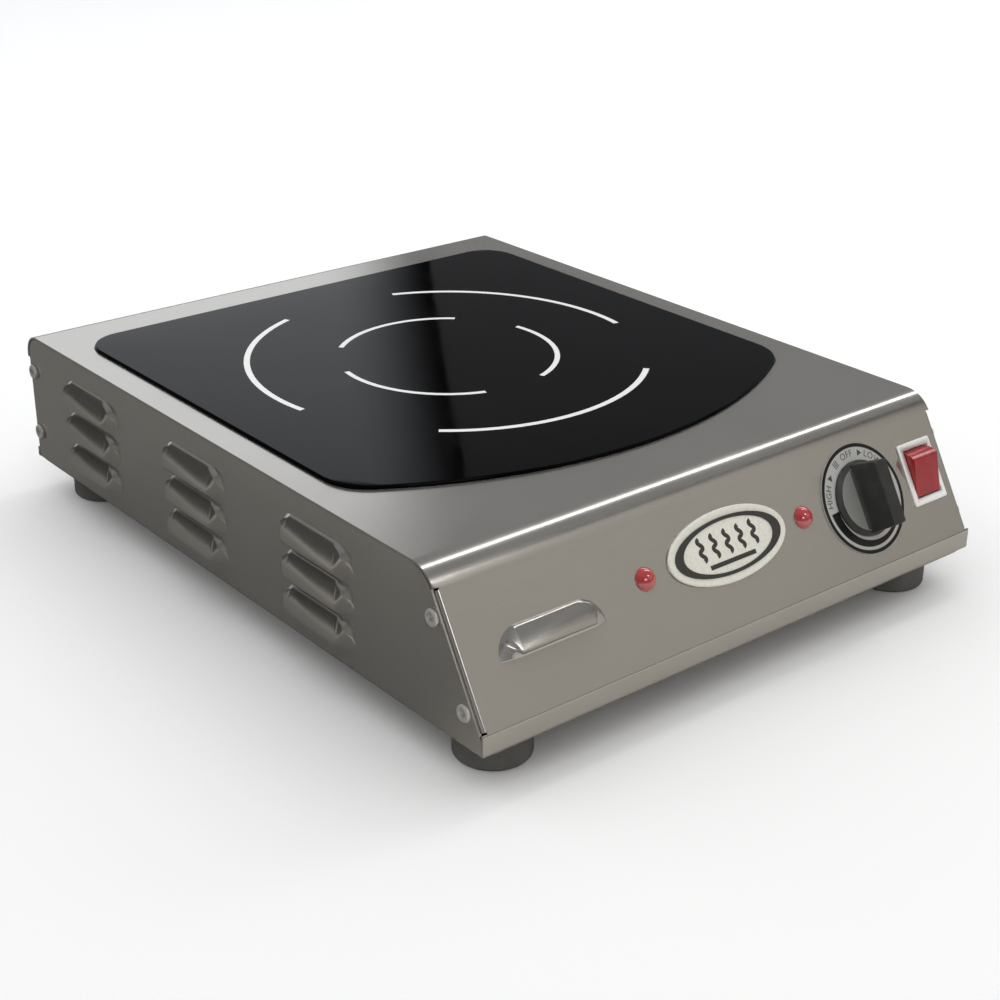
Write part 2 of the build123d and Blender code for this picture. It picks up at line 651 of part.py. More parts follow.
def coil_winding():
    """Flat spiral of half turns, whose centres alternate so that each meets the next."""
    shift = COIL_PITCH / 4
    turns = []
    for index in range(2 * COIL_TURNS):
        radius = COIL_INNER_RADIUS + COIL_PITCH / 2 * index
        side = 1 if index % 2 == 0 else -1
        section = Plane.XZ * Pos(side * radius, 0) * Circle(WIRE_DIAMETER / 2)
        half = revolve(section, axis=Axis.Z, revolution_arc=180)
        turns.append(Pos(side * shift, ZONE_Y, COIL_MID) * half)
    return turns[0].fuse(*turns[1:])


def coil_tray():
    """Tray that carries the coil, with pockets for the ferrite bars below."""
    tray = cylinder_up(TRAY_RADIUS, TRAY_THICKNESS, z=TRAY_TOP - TRAY_THICKNESS)
    rim = Circle(TRAY_RADIUS) - Circle(TRAY_RADIUS - TRAY_THICKNESS)
    tray += extrude(Pos(0, 0, TRAY_TOP) * rim, amount=WIRE_DIAMETER)
    for index in range(BAR_COUNT):
        wall = bar_shape(SENSOR_HOLDER_WALL, BAR_THICKNESS / 2) - bar_shape(STACK_GAP, BAR_THICKNESS)
        tray += Rot(0, 0, index * 360 / BAR_COUNT) * wall
    tray -= cylinder_up(SENSOR_DIAMETER / 2 + SENSOR_HOLDER_WALL + STACK_GAP, 4 * TRAY_THICKNESS,
                        z=TRAY_TOP - 2 * TRAY_THICKNESS)
    return Pos(0, ZONE_Y, 0) * tray


def bar_shape(grow, height):
    """Ferrite bar along +X, or the same outline grown, hanging from the tray."""
    width = BAR_WIDTH + 2 * grow
    length = BAR_LENGTH + 2 * grow
    return block_up(length, width, height, x=BAR_INNER_RADIUS + BAR_LENGTH / 2, z=BAR_TOP - height)


def ferrite_bars():
    """Radial ferrite bars under the coil."""
    bar = bar_shape(0.0, BAR_THICKNESS)
    return [Pos(0, ZONE_Y, 0) * Rot(0, 0, i * 360 / BAR_COUNT) * bar for i in range(BAR_COUNT)]


def temperature_sensor():
    """Sensor puck held against the glass."""
    z = GLASS_BOTTOM - STACK_GAP - SENSOR_HEIGHT
    puck = cylinder_up(SENSOR_DIAMETER / 2, SENSOR_HEIGHT, 0, ZONE_Y, z)
    return chamfer(puck.edges().sort_by(Axis.Z)[-1], 0.6)


def sensor_holder():
    """Cup in the middle of the tray that carries the sensor."""
    sensor_bottom = GLASS_BOTTOM - STACK_GAP - SENSOR_HEIGHT
    radius = SENSOR_DIAMETER / 2 + SENSOR_HOLDER_WALL
    base = BAR_TOP - BAR_THICKNESS
    cup = cylinder_up(radius, sensor_bottom + 2 - base, z=base)
    cup -= cylinder_up(SENSOR_DIAMETER / 2 + RUNNING_GAP, 3, z=sensor_bottom)
    cup -= cylinder_up(radius - 2 * SENSOR_HOLDER_WALL, 40, z=base)
    cup += cylinder_up(radius + 4, 2, z=base - 2) - cylinder_up(radius - 2 * SENSOR_HOLDER_WALL, 2, z=base - 2)
    return Pos(0, ZONE_Y, 0) * cup


def tray_springs():
    """Leaf springs that press the tray up towards the glass."""
    tray_bottom = BAR_TOP
    rise = tray_bottom - DECK_TOP
    half = rise * 0.9
    middle = SPRING_THICKNESS / 2
    line = Polyline(
        (-half - 8, DECK_TOP + middle),
        (-half, DECK_TOP + middle),
        (-4, tray_bottom - middle),
        (4, tray_bottom - middle),
        (half, DECK_TOP + middle),
        (half + 8, DECK_TOP + middle),
    )
    strip = make_face(offset(line, amount=middle, side=Side.BOTH))
    leaf = extrude(Plane.XZ * strip, amount=SPRING_WIDTH / 2, both=True)
    springs = []
    for index in range(4):
        turn = Rot(0, 0, 22.5 + 90 * index)
        springs.append(Pos(0, ZONE_Y, 0) * turn * Pos(SPRING_RADIUS, 0, 0) * Rot(0, 0, 90) * leaf)
    return springs


def shield_deck():
    """Aluminium deck between coil and electronics, with folded edges and a lead hole."""
    deck = block_up(2 * DECK_HALF_WIDTH, 2 * DECK_HALF_DEPTH, DECK_THICKNESS, z=DECK_Z)
    skirt = block_up(2 * DECK_HALF_WIDTH, DECK_THICKNESS, DECK_FLANGE, z=DECK_TOP - DECK_FLANGE)
    for y in (-DECK_HALF_DEPTH + DECK_THICKNESS / 2, DECK_HALF_DEPTH - DECK_THICKNESS / 2):
        deck += Pos(0, y, 0) * skirt
    for x, y in corner_spots(PILLAR_X, PILLAR_Y):
        deck -= cylinder_up(SMALL_SCREW / 2 + HOLE_PLAY, 4 * DECK_THICKNESS, x, y, DECK_Z - DECK_THICKNESS)
    slot = extrude(Pos(LEAD_HOLE_X, 0, DECK_Z) * SlotOverall(24, 12), amount=2 * DECK_THICKNESS, both=True)
    return Pos(0, ZONE_Y, 0) * (deck - slot)


def deck_pillars():
    """Threaded pillars from the floor to the deck."""
    pillar = cylinder_up(PILLAR_RADIUS, DECK_HEIGHT, z=FLOOR_Z)
    pillar -= cylinder_up(SMALL_SCREW / 2 + THREAD_PLAY, 10, z=DECK_Z - 10)
    return [Pos(x, y, 0) * pillar for x, y in corner_spots(PILLAR_X, PILLAR_Y, 0, ZONE_Y)]


def deck_screws():
    """Screws down through the deck into its pillars."""
    screw = pan_head_screw(SMALL_SCREW, 8, SMALL_HEAD, SMALL_HEAD_HEIGHT)
    return [Pos(x, y, DECK_TOP) * screw for x, y in corner_spots(PILLAR_X, PILLAR_Y, 0, ZONE_Y)]


# ---------------------------------------------------------------- electronics
def board_corners():
    """Where the board is screwed down."""
    return corner_spots(BOARD_WIDTH / 2 - 6, BOARD_DEPTH / 2 - 6, BOARD_X, BOARD_Y)


def power_board():
    """Circuit board on its standoffs."""
    board = block_up(BOARD_WIDTH, BOARD_DEPTH, BOARD_THICKNESS, BOARD_X, BOARD_Y, BOARD_Z)
    for x, y in board_corners():
        board -= cylinder_up(SMALL_SCREW / 2 + HOLE_PLAY, 4 * BOARD_THICKNESS, x, y, BOARD_Z - BOARD_THICKNESS)
    return board


def board_standoffs():
    """Spacers between floor and board."""
    spacer = cylinder_up(STANDOFF_RADIUS, STANDOFF_HEIGHT, z=FLOOR_Z)
    spacer -= cylinder_up(SMALL_SCREW / 2 + THREAD_PLAY, STANDOFF_HEIGHT, z=FLOOR_Z)
    return [Pos(x, y, 0) * spacer for x, y in board_corners()]


def board_screws():
    """Screws that hold the board."""
    screw = pan_head_screw(SMALL_SCREW, STANDOFF_HEIGHT, SMALL_HEAD, SMALL_HEAD_HEIGHT)
    return [Pos(x, y, BOARD_TOP) * screw for x, y in board_corners()]


SINK_X = BOARD_X - BOARD_WIDTH / 2 + SINK_WIDTH / 2 + 4
SINK_BOTTOM = BOARD_TOP + DEVICE_HEIGHT
PARTS_X = SINK_X + SINK_WIDTH / 2 + 38


def heat_sink():
    """Extruded heat sink over the power devices, fins along Y."""
    sink = block_up(SINK_WIDTH, SINK_LENGTH, SINK_BASE, z=0)
    step = (SINK_WIDTH - FIN_THICKNESS) / (SINK_FINS - 1)
    for index in range(SINK_FINS):
        x = -SINK_WIDTH / 2 + FIN_THICKNESS / 2 + index * step
        sink += block_up(FIN_THICKNESS, SINK_LENGTH, SINK_HEIGHT, x=x)
    return Pos(SINK_X, BOARD_Y, SINK_BOTTOM) * sink


def power_transistors():
    """Two flat power devices under the heat sink."""
    device = block_up(16, 21, DEVICE_HEIGHT, z=BOARD_TOP)
    return [Pos(SINK_X, BOARD_Y + y, 0) * device for y in (-32, 0)]


def bridge_rectifier():
    """Rectifier under the heat sink."""
    body = block_up(28, 22, DEVICE_HEIGHT, SINK_X, BOARD_Y + 34, BOARD_TOP)
    return chamfer(body.edges().filter_by(Axis.Z).sort_by(Axis.X)[-1], 3)


def film_capacitors():
    """Two box capacitors of the resonant circuit."""
    box = block_up(42, 20, 26, z=BOARD_TOP)
    box = fillet(box.edges().filter_by(Axis.Z), 2)
    return [Pos(PARTS_X, BOARD_Y + y, 0) * box for y in (-52, -26)]


def bus_capacitor():
    """Box capacitor across the rectified supply."""
    box = block_up(42, 16, 22, PARTS_X, BOARD_Y - 2, BOARD_TOP)
    return fillet(box.edges().filter_by(Axis.Z), 2)


def filter_choke():
    """Ring choke that stands flat on the board."""
    return Pos(PARTS_X - 4, BOARD_Y + 32, BOARD_TOP + 7) * Torus(14, 7)


def terminal_block():
    """Screw terminals at the board's rear edge."""
    block = block_up(36, 12, 14, PARTS_X, BOARD_Y + BOARD_DEPTH / 2 - 8, BOARD_TOP)
    for index in (-1, 0, 1):
        spot = Pos(PARTS_X + index * 11, BOARD_Y + BOARD_DEPTH / 2 - 8, BOARD_TOP + 14)
        block -= spot * Cylinder(2.6, 6)
    return block


# ---------------------------------------------------------------- fan
def fan_frame():
    """Square fan housing on the floor, with motor base, bearing tube and struts."""
    frame = block_up(FAN_SIZE, FAN_SIZE, FAN_HEIGHT)
    frame = fillet(frame.edges().filter_by(Axis.Z), 4)
    frame -= cylinder_up(FAN_BORE / 2, FAN_HEIGHT)
    base_radius = HUB_DIAMETER / 2
    for angle in (45, 135):
        frame += Rot(0, 0, angle) * block_up(FAN_BORE + 2, 4, STRUT_THICKNESS)
    frame += cylinder_up(base_radius, STRUT_THICKNESS)
    frame += cylinder_up(FAN_SHAFT / 2 + 3, FAN_HEIGHT * 0.6)
    frame -= cylinder_up(FAN_SHAFT / 2 + RUNNING_GAP, FAN_HEIGHT)
    for x, y in corner_spots(FAN_HOLE_SPACING / 2, FAN_HOLE_SPACING / 2):
        frame -= cylinder_up(SMALL_SCREW / 2 + HOLE_PLAY, FAN_HEIGHT, x, y)
    return Pos(FAN_X, FAN_Y, FLOOR_Z) * frame


def fan_impeller():
    """Hub with shaft and tilted blades."""
    bottom = STRUT_THICKNESS + HUB_GAP
    height = FAN_HEIGHT - bottom - 1.5
    hub = cylinder_up(HUB_DIAMETER / 2, height, z=bottom)
    hub = fillet(hub.edges().sort_by(Axis.Z)[-1], 2)
    hollow_top = FAN_HEIGHT * 0.6 + HUB_GAP
    hub -= cylinder_up(HUB_DIAMETER / 2 - 2, hollow_top - bottom, z=bottom)
    hub += cylinder_up(FAN_SHAFT / 2, hollow_top - 1, z=1)
    tip = FAN_BORE / 2 - BLADE_GAP
    root = HUB_DIAMETER / 2 - 1.5
    chord = (height - 2) / sin(radians(BLADE_TILT))
    plate = Box(tip, BLADE_THICKNESS, chord)
    plate = Pos(root + tip / 2, 0, bottom + height / 2) * Rot(90 - BLADE_TILT, 0, 0) * plate
    ring = cylinder_up(tip, height - 1, z=bottom + 0.5) - cylinder_up(root, FAN_HEIGHT)
    blade = plate & ring
    for index in range(BLADES):
        hub += Rot(0, 0, index * 360 / BLADES) * blade
    return Pos(FAN_X, FAN_Y, FLOOR_Z) * hub


def fan_screws():
    """Screws up through the floor and the fan's corners."""
    screw = pan_head_screw(SMALL_SCREW, SHEET + FAN_HEIGHT, SMALL_HEAD, SMALL_HEAD_HEIGHT)
    spots = corner_spots(FAN_HOLE_SPACING / 2, FAN_HOLE_SPACING / 2, FAN_X, FAN_Y)
    return [Pos(x, y, BASE_Z) * Rot(180, 0, 0) * screw for x, y in spots]


# ---------------------------------------------------------------- controls
def dial_plate():
    """Round scale plate under the knob, open in the middle for the control's nut."""
    plate = cylinder_up(DIAL_DIAMETER / 2, DIAL_THICKNESS)
    plate -= cylinder_up(NUT_ACROSS / 2 + NUT_ROOM, DIAL_THICKNESS)
    return on_panel(KNOB_X, KNOB_DOWN, plate)


def control_knob():
    """Skirted knob with a bar grip that points up the panel at rest."""
    rim = DIAL_THICKNESS + KNOB_GAP
    height = KNOB_HEIGHT - rim
    skirt = cylinder_up(SKIRT_DIAMETER / 2, SKIRT_RIM_HEIGHT)
    shoulder = extrude(Circle(SKIRT_DIAMETER / 2), SKIRT_HEIGHT - SKIRT_RIM_HEIGHT, taper=skirt_taper())
    ends = Pos(0, 0, height / 2) * Cone(GRIP_LENGTH / 2, GRIP_TOP_LENGTH / 2, height)
    bar = block_up(GRIP_WIDTH, 2 * GRIP_LENGTH, height) & ends
    bar = fillet(bar.faces().sort_by(Axis.Z)[-1].edges(), GRIP_EDGE_ROUND)
    knob = skirt + Pos(0, 0, SKIRT_RIM_HEIGHT) * shoulder + bar
    feet = [
        edge for edge in knob.edges().filter_by(Axis.Y)
        if abs(edge.center().Z - SKIRT_HEIGHT) < SEAM and abs(abs(edge.center().X) - GRIP_WIDTH / 2) < SEAM
    ]
    knob = fillet(feet, GRIP_FILLET)
    knob -= cylinder_up(NUT_ACROSS / 2 + NUT_ROOM, NUT_HEIGHT + KNOB_GAP - rim)
    knob -= cylinder_up(SHAFT_DIAMETER / 2, KNOB_HEIGHT * SHAFT_REACH)
    return on_panel(KNOB_X, KNOB_DOWN, knob, out=rim)


def skirt_taper():
    """Slope of the skirt's shoulder, in degrees from upright."""
    step = (SKIRT_DIAMETER - SKIRT_FACE_DIAMETER) / 2
    return degrees(atan2(step, SKIRT_HEIGHT - SKIRT_RIM_HEIGHT))


def control_shaft():
    """Shaft from inside the control to inside the knob."""
    tail = CONTROL_DEPTH * 0.6
    tip = DIAL_THICKNESS + KNOB_GAP + KNOB_HEIGHT * SHAFT_REACH
    shaft = cylinder_up(SHAFT_DIAMETER / 2, tail + tip, z=-tail)
    return on_panel(KNOB_X, KNOB_DOWN, shaft)


def control_body():
    """Rotary control behind the panel, with its threaded bush."""
    body = Pos(0, 0, -SHEET - CONTROL_DEPTH / 2) * Box(CONTROL_WIDTH, CONTROL_WIDTH, CONTROL_DEPTH)
    body = fillet(body.edges().filter_by(Axis.Z), 3)
    body += cylinder_up(BUSH_DIAMETER / 2, SHEET + NUT_HEIGHT, z=-SHEET)
    body -= cylinder_up(SHAFT_DIAMETER / 2 + RUNNING_GAP, BUSH_LENGTH + CONTROL_DEPTH * 0.7 + SHEET,
                        z=-SHEET - CONTROL_DEPTH * 0.7)
    return on_panel(KNOB_X, KNOB_DOWN, body)


def control_nut():
    """Nut that clamps the control to the panel, hidden under the knob's skirt."""
    nut = extrude(RegularPolygon(NUT_ACROSS / 2, 6, major_radius=False), amount=NUT_HEIGHT)
    nut -= cylinder_up(BUSH_DIAMETER / 2 + THREAD_PLAY, NUT_HEIGHT)
    return on_panel(KNOB_X, KNOB_DOWN, nut)


def switch_cutout(grow=0.0):
    """Width and height of the switch's body, which is also its panel cut-out."""
    width = ROCKER_OPENING_WIDTH + 2 * SWITCH_WALL + 2 * grow
    height = ROCKER_OPENING_HEIGHT + 2 * SWITCH_WALL + 2 * grow
    return width, height


def rocker_bezel():
    """Switch housing: frame on the panel, body behind it, pivot pins inside."""
    frame = block_up(BEZEL_WIDTH, BEZEL_HEIGHT, BEZEL_THICKNESS)
    frame = fillet(frame.edges().filter_by(Axis.Z), 1.0)
    frame = chamfer(frame.faces().sort_by(Axis.Z)[-1].edges(), 0.4)
    width, height = switch_cutout()
    body = block_up(width, height, SWITCH_BODY_DEPTH, z=-SWITCH_BODY_DEPTH)
    pocket_depth = ROCKER_PIVOT_DEPTH + ROCKER_RADIUS + 1
    pocket = block_up(ROCKER_OPENING_WIDTH, ROCKER_OPENING_HEIGHT, pocket_depth + BEZEL_THICKNESS,
                      z=-pocket_depth)
    pin = Pos(0, 0, -ROCKER_PIVOT_DEPTH) * Rot(0, 90, 0) * Cylinder(ROCKER_PIN / 2, ROCKER_OPENING_WIDTH)
    for index in (-1, 0, 1):
        body += block_up(6, 0.8, 8, y=index * 8, z=-SWITCH_BODY_DEPTH - 8)
    return on_panel(ROCKER_X, ROCKER_DOWN, frame + body - pocket + pin)


def rocker_button():
    """Rocker whose ends are arcs about its pivot, tipped with its upper end out."""
    width = ROCKER_OPENING_WIDTH - 2 * ROCKER_SIDE_GAP
    drum = Rot(0, 90, 0) * Cylinder(ROCKER_RADIUS, width)
    keep = block_up(2 * width, 3 * ROCKER_RADIUS, ROCKER_FACE_HEIGHT + 2, z=-2)
    button = drum & keep
    button -= Rot(0, 90, 0) * Cylinder(ROCKER_PIN / 2 + RUNNING_GAP, 2 * width)
    upper = button.edges().filter_by(Axis.X).group_by(Axis.Z)[-1]
    button = fillet(upper, 0.8)
    return on_panel(ROCKER_X, ROCKER_DOWN, Rot(ROCKER_TILT, 0, 0) * button, out=-ROCKER_PIVOT_DEPTH)


def pilot_lens(x):
    """Domed lens with a stem that plugs into its holder."""
    radius = LENS_DIAMETER / 2
    ball = (radius**2 + LENS_DOME**2) / (2 * LENS_DOME)
    dome = Pos(0, 0, LENS_DOME - ball) * Sphere(ball) & cylinder_up(radius, 2 * LENS_DOME)
    stem = cylinder_up(PILOT_HOLDER_DIAMETER / 2 - 1.5, LENS_STEM, z=-LENS_STEM)
    return on_panel(x, PILOT_DOWN, dome + stem)


def pilot_holder(x):
    """Tube behind the panel that holds lens and lamp."""
    tube = cylinder_up(PILOT_HOLDER_DIAMETER / 2, PILOT_HOLDER_DEPTH, z=-PILOT_HOLDER_DEPTH)
    tube += cylinder_up(PILOT_HOLDER_DIAMETER / 2 + 2, 1.5, z=-SHEET - 1.5)
    tube -= cylinder_up(PILOT_HOLDER_DIAMETER / 2 - 1.5 + RUNNING_GAP, LENS_STEM + 1, z=-LENS_STEM - 1)
    return on_panel(x, PILOT_DOWN, tube)


def badge_plate():
    """Oval plate with a rounded edge and a groove for its ring."""
    plate = extrude(Ellipse(BADGE_WIDTH / 2, BADGE_HEIGHT / 2), amount=BADGE_THICKNESS)
    plate = fillet(plate.faces().sort_by(Axis.Z)[-1].edges(), BADGE_EDGE_ROUND)
    return on_panel(0, BADGE_DOWN, plate - ring_band(BADGE_THICKNESS))


def ring_band(height):
    """Oval band near the badge's edge, in the upper half of its thickness."""
    outer_x = BADGE_WIDTH / 2 - BADGE_RING_INSET
    outer_y = BADGE_HEIGHT / 2 - BADGE_RING_INSET
    band = Ellipse(outer_x, outer_y) - Ellipse(outer_x - BADGE_RING_END_WIDTH, outer_y - BADGE_RING_WIDTH)
    return extrude(Pos(0, 0, BADGE_THICKNESS / 2) * band, amount=height - BADGE_THICKNESS / 2)


def badge_ring():
    """Dark inlay in the badge's groove, a little proud of its face."""
    return on_panel(0, BADGE_DOWN, ring_band(BADGE_THICKNESS + BADGE_RING_PROUD))


# ---------------------------------------------------------------- rear entry and leads
def cable_gland():
    """Gland body through the rear wall, with hexagon and rounded cap outside."""
    hexagon = extrude(RegularPolygon(GLAND_HEX / 2, 6, major_radius=False), amount=GLAND_HEX_LENGTH)
    hexagon = chamfer(hexagon.faces().sort_by(Axis.Z)[-1].edges(), 0.8)
    cap = cylinder_up(GLAND_HEX / 2 - 1, GLAND_CAP_LENGTH)
    cap = fillet(cap.edges().sort_by(Axis.Z)[-1], 3)
    thread = cylinder_up(GLAND_THREAD / 2, GLAND_THREAD_LENGTH, z=-GLAND_THREAD_LENGTH)
    body = hexagon + cap + thread - Cylinder(GLAND_BORE / 2, 4 * GLAND_CAP_LENGTH)
    return Pos(GLAND_X, BODY_DEPTH, GLAND_Z) * Rot(-90, 0, 0) * body


def gland_nut():
    """Nut inside the rear wall."""
    nut = extrude(RegularPolygon(GLAND_HEX / 2, 6, major_radius=False), amount=-5)
    nut -= Cylinder(GLAND_THREAD / 2 + THREAD_PLAY, 40)
    return Pos(GLAND_X, BODY_DEPTH - SHEET, GLAND_Z) * Rot(-90, 0, 0) * nut


def earth_screw():
    """Earthing stud on the floor beside the gland, with its nut."""
    x = GLAND_X - 40
    y = BODY_DEPTH - 30
    stud = cylinder_up(2, 12, x, y, FLOOR_Z)
    return stud + extrude(Pos(x, y, FLOOR_Z) * RegularPolygon(3.5, 6, major_radius=False), amount=NUT_HEIGHT)


def mains_leads():
    """Two leads from the gland to the terminal block."""
    start_y = BODY_DEPTH - GLAND_THREAD_LENGTH - 1
    end_y = BOARD_Y + BOARD_DEPTH / 2 - 1
    leads = []
    for side in (-1, 1):
        x = GLAND_X + side * 2
        end_x = PARTS_X + 5.5 + side * 5.5
        top = BOARD_TOP + 8
        points = [
            (x, start_y, GLAND_Z),
            (x + side, start_y - 14, GLAND_Z + 1),
            (x * 0.7 + end_x * 0.3, start_y - 30, GLAND_Z - 3),
            (end_x + side, end_y + 18, top + 1),
            (end_x, end_y, top),
        ]
        leads.append(wire_tube(points, LEAD_DIAMETER))
    return leads


def switch_leads():
    """Two leads from the rocker switch along the right wall to the board."""
    leads = []
    tail = SWITCH_BODY_DEPTH + 9
    start = SLOPE.from_local_coords((ROCKER_X, -ROCKER_DOWN, -tail))
    for side in (-1, 1):
        x = start.X + side * 4
        end_x = BOARD_X + BOARD_WIDTH / 2 - 12 + side * 4
        points = [
            (x, start.Y, start.Z),
            (x, start.Y + 18, start.Z - 7),
            (x - 1, start.Y + 55, BOARD_TOP + 7 + side),
            (x - 8, start.Y + 92, BOARD_TOP + 9 + side),
            (end_x + 6, BOARD_Y - BOARD_DEPTH / 2 - 18, BOARD_TOP + 12),
            (end_x, BOARD_Y - BOARD_DEPTH / 2 + 12, BOARD_TOP + LEAD_RISE),
            (end_x, BOARD_Y - BOARD_DEPTH / 2 + 12, BOARD_TOP),
        ]
        leads.append(wire_tube(points, LEAD_DIAMETER))
    return leads


def coil_leads():
    """Two leads from the coil's edge down through the deck to the board."""
    leads = []
    for side in (-1, 1):
        y = ZONE_Y + side * 4
        points = [
            (TRAY_RADIUS + 1, y, COIL_MID),
            (TRAY_RADIUS + 12, y, COIL_MID - 2),
            (LEAD_HOLE_X, y, DECK_TOP + 4),
            (LEAD_HOLE_X - 1, y, DECK_Z - 12),
            (BOARD_X + BOARD_WIDTH / 2 - 8, y, BOARD_TOP + LEAD_RISE),
            (BOARD_X + BOARD_WIDTH / 2 - 8, y, BOARD_TOP),
        ]
        leads.append(wire_tube(points, LEAD_DIAMETER))
    return leads


# ---------------------------------------------------------------- assembly
def build_all():
    """Every node by name, each a list of its solids, in the working frame."""
    makers = [
        base_pan, top_cover, cover_screws, clinch_nuts, foot_screws, foot_nuts,
        glass_plate, zone_marking, glass_seal, glass_frame,
        insulation_disc, coil_winding, coil_tray, ferrite_bars, temperature_sensor, sensor_holder,
        tray_springs, shield_deck, deck_pillars, deck_screws,
        power_board, board_standoffs, board_screws, heat_sink, power_transistors, bridge_rectifier,
        film_capacitors, bus_capacitor, filter_choke, terminal_block,
        fan_frame, fan_impeller, fan_screws,
        dial_plate, control_knob, control_shaft, control_body, control_nut,
        rocker_bezel, rocker_button, badge_plate, badge_ring,
        cable_gland, gland_nut, earth_screw, mains_leads, switch_leads, coil_leads,
    ]
    nodes = {maker.__name__: maker() for maker in makers}
    for name, (x, y) in foot_spots().items():
        nodes["foot_" + name] = foot(x, y)
    for name, x in zip(("left", "right"), PILOT_XS):
        nodes["pilot_lens_" + name] = pilot_lens(x)
        nodes["pilot_holder_" + name] = pilot_holder(x)
    return {name: solids_of(shape) for name, shape in nodes.items()}


def solids_of(shape):
    """The solids of a shape or of a list of shapes."""
    shapes = shape if isinstance(shape, list) else [shape]
    return [solid for item in shapes for solid in item.solids()]


def footprint_shift(nodes):
    """Move that brings the middle of the whole footprint, on the feet's plane, to the origin."""
    boxes = [solid.bounding_box() for solids in nodes.values() for solid in solids]
    front = min(box.min.Y for box in boxes)
    rear = max(box.max.Y for box in boxes)
    return Pos(0, -(front + rear) / 2, 0)


def main():
    """Write one STEP file for each node."""
    os.makedirs("parts", exist_ok=True)
    nodes = build_all()
    shift = footprint_shift(nodes)
    for name, solids in nodes.items():
        moved = [shift * solid for solid in solids]
        shape = moved[0] if len(moved) == 1 else Compound(children=moved)
        shape.label = name
        export_step(shape, f"parts/{name}.step")


if __name__ == "__main__":
    main()
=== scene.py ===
"""Looks of a countertop induction hob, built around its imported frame."""

import logging
from collections.abc import Callable, Iterable
from dataclasses import dataclass, field
from enum import Enum
from math import cos, degrees, pi, radians, sin, sqrt

import bpy
from mathutils import Matrix, Vector


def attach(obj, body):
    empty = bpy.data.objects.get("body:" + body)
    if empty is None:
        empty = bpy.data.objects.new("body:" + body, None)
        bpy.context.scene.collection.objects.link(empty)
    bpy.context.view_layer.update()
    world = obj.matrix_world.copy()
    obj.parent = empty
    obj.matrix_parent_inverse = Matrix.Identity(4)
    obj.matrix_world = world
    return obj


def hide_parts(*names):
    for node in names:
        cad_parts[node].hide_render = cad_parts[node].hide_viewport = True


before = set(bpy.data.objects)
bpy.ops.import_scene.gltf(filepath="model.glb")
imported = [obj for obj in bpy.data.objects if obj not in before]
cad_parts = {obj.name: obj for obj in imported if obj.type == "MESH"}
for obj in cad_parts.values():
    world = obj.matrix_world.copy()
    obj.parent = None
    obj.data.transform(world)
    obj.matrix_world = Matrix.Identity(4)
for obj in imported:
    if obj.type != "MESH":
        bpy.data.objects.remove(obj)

LOG = logging.getLogger("hob")
MM = 0.001
Colour = tuple[float, float, float]


class Body(Enum):
    """The bodies that the new pieces ride on."""

    HOUSING = "housing"
    KNOB = "knob"
    ROCKER = "rocker"


class Grain(Enum):
    """How a grain pattern is stretched along the three axes, in cells per metre."""

    ACROSS = (40.0, 3200.0, 3200.0)
    ALONG = (3200.0, 40.0, 3200.0)
    EVEN = (1500.0, 1500.0, 1500.0)
    FINE = (4000.0, 4000.0, 4000.0)


# ---------------------------------------------------------------- shader graph
class Value:
    """One number in a shader graph, with the arithmetic that adds its Math nodes."""

    def __init__(self, graph: "Graph", socket: bpy.types.NodeSocket) -> None:
        """Wrap an output socket of a graph."""
        self.graph = graph
        self.socket = socket

    def _maths(self, operation: str, first: object, second: object) -> "Value":
        """Add a Math node.

        Args:
            operation: the Math node's operation.
            first: its first value or link.
            second: its second value or link.

        Returns:
            The node's result.
        """
        return self.graph.node("ShaderNodeMath", {"operation": operation}, {0: first, 1: second})

    def __add__(self, other: object) -> "Value":
        """Sum with a value or number."""
        return self._maths("ADD", self, other)

    def __radd__(self, other: object) -> "Value":
        """Sum with a number on the left."""
        return self._maths("ADD", other, self)

    def __sub__(self, other: object) -> "Value":
        """Difference from a value or number."""
        return self._maths("SUBTRACT", self, other)

    def __rsub__(self, other: object) -> "Value":
        """Difference from a number on the left."""
        return self._maths("SUBTRACT", other, self)

    def __mul__(self, other: object) -> "Value":
        """Product with a value or number."""
        return self._maths("MULTIPLY", self, other)

    def __rmul__(self, other: object) -> "Value":
        """Product with a number on the left."""
        return self._maths("MULTIPLY", other, self)

    def ramp(self, low: float, high: float) -> "Value":
        """Smooth step between two levels.

        Args:
            low: level that gives nought.
            high: level that gives one.

        Returns:
            A value from nought to one.
        """
        return self.graph.node(
            "ShaderNodeMapRange",
            {"interpolation_type": "SMOOTHSTEP", "clamp": True},
            {0: self, 1: low, 2: high, 3: 0.0, 4: 1.0},
        )


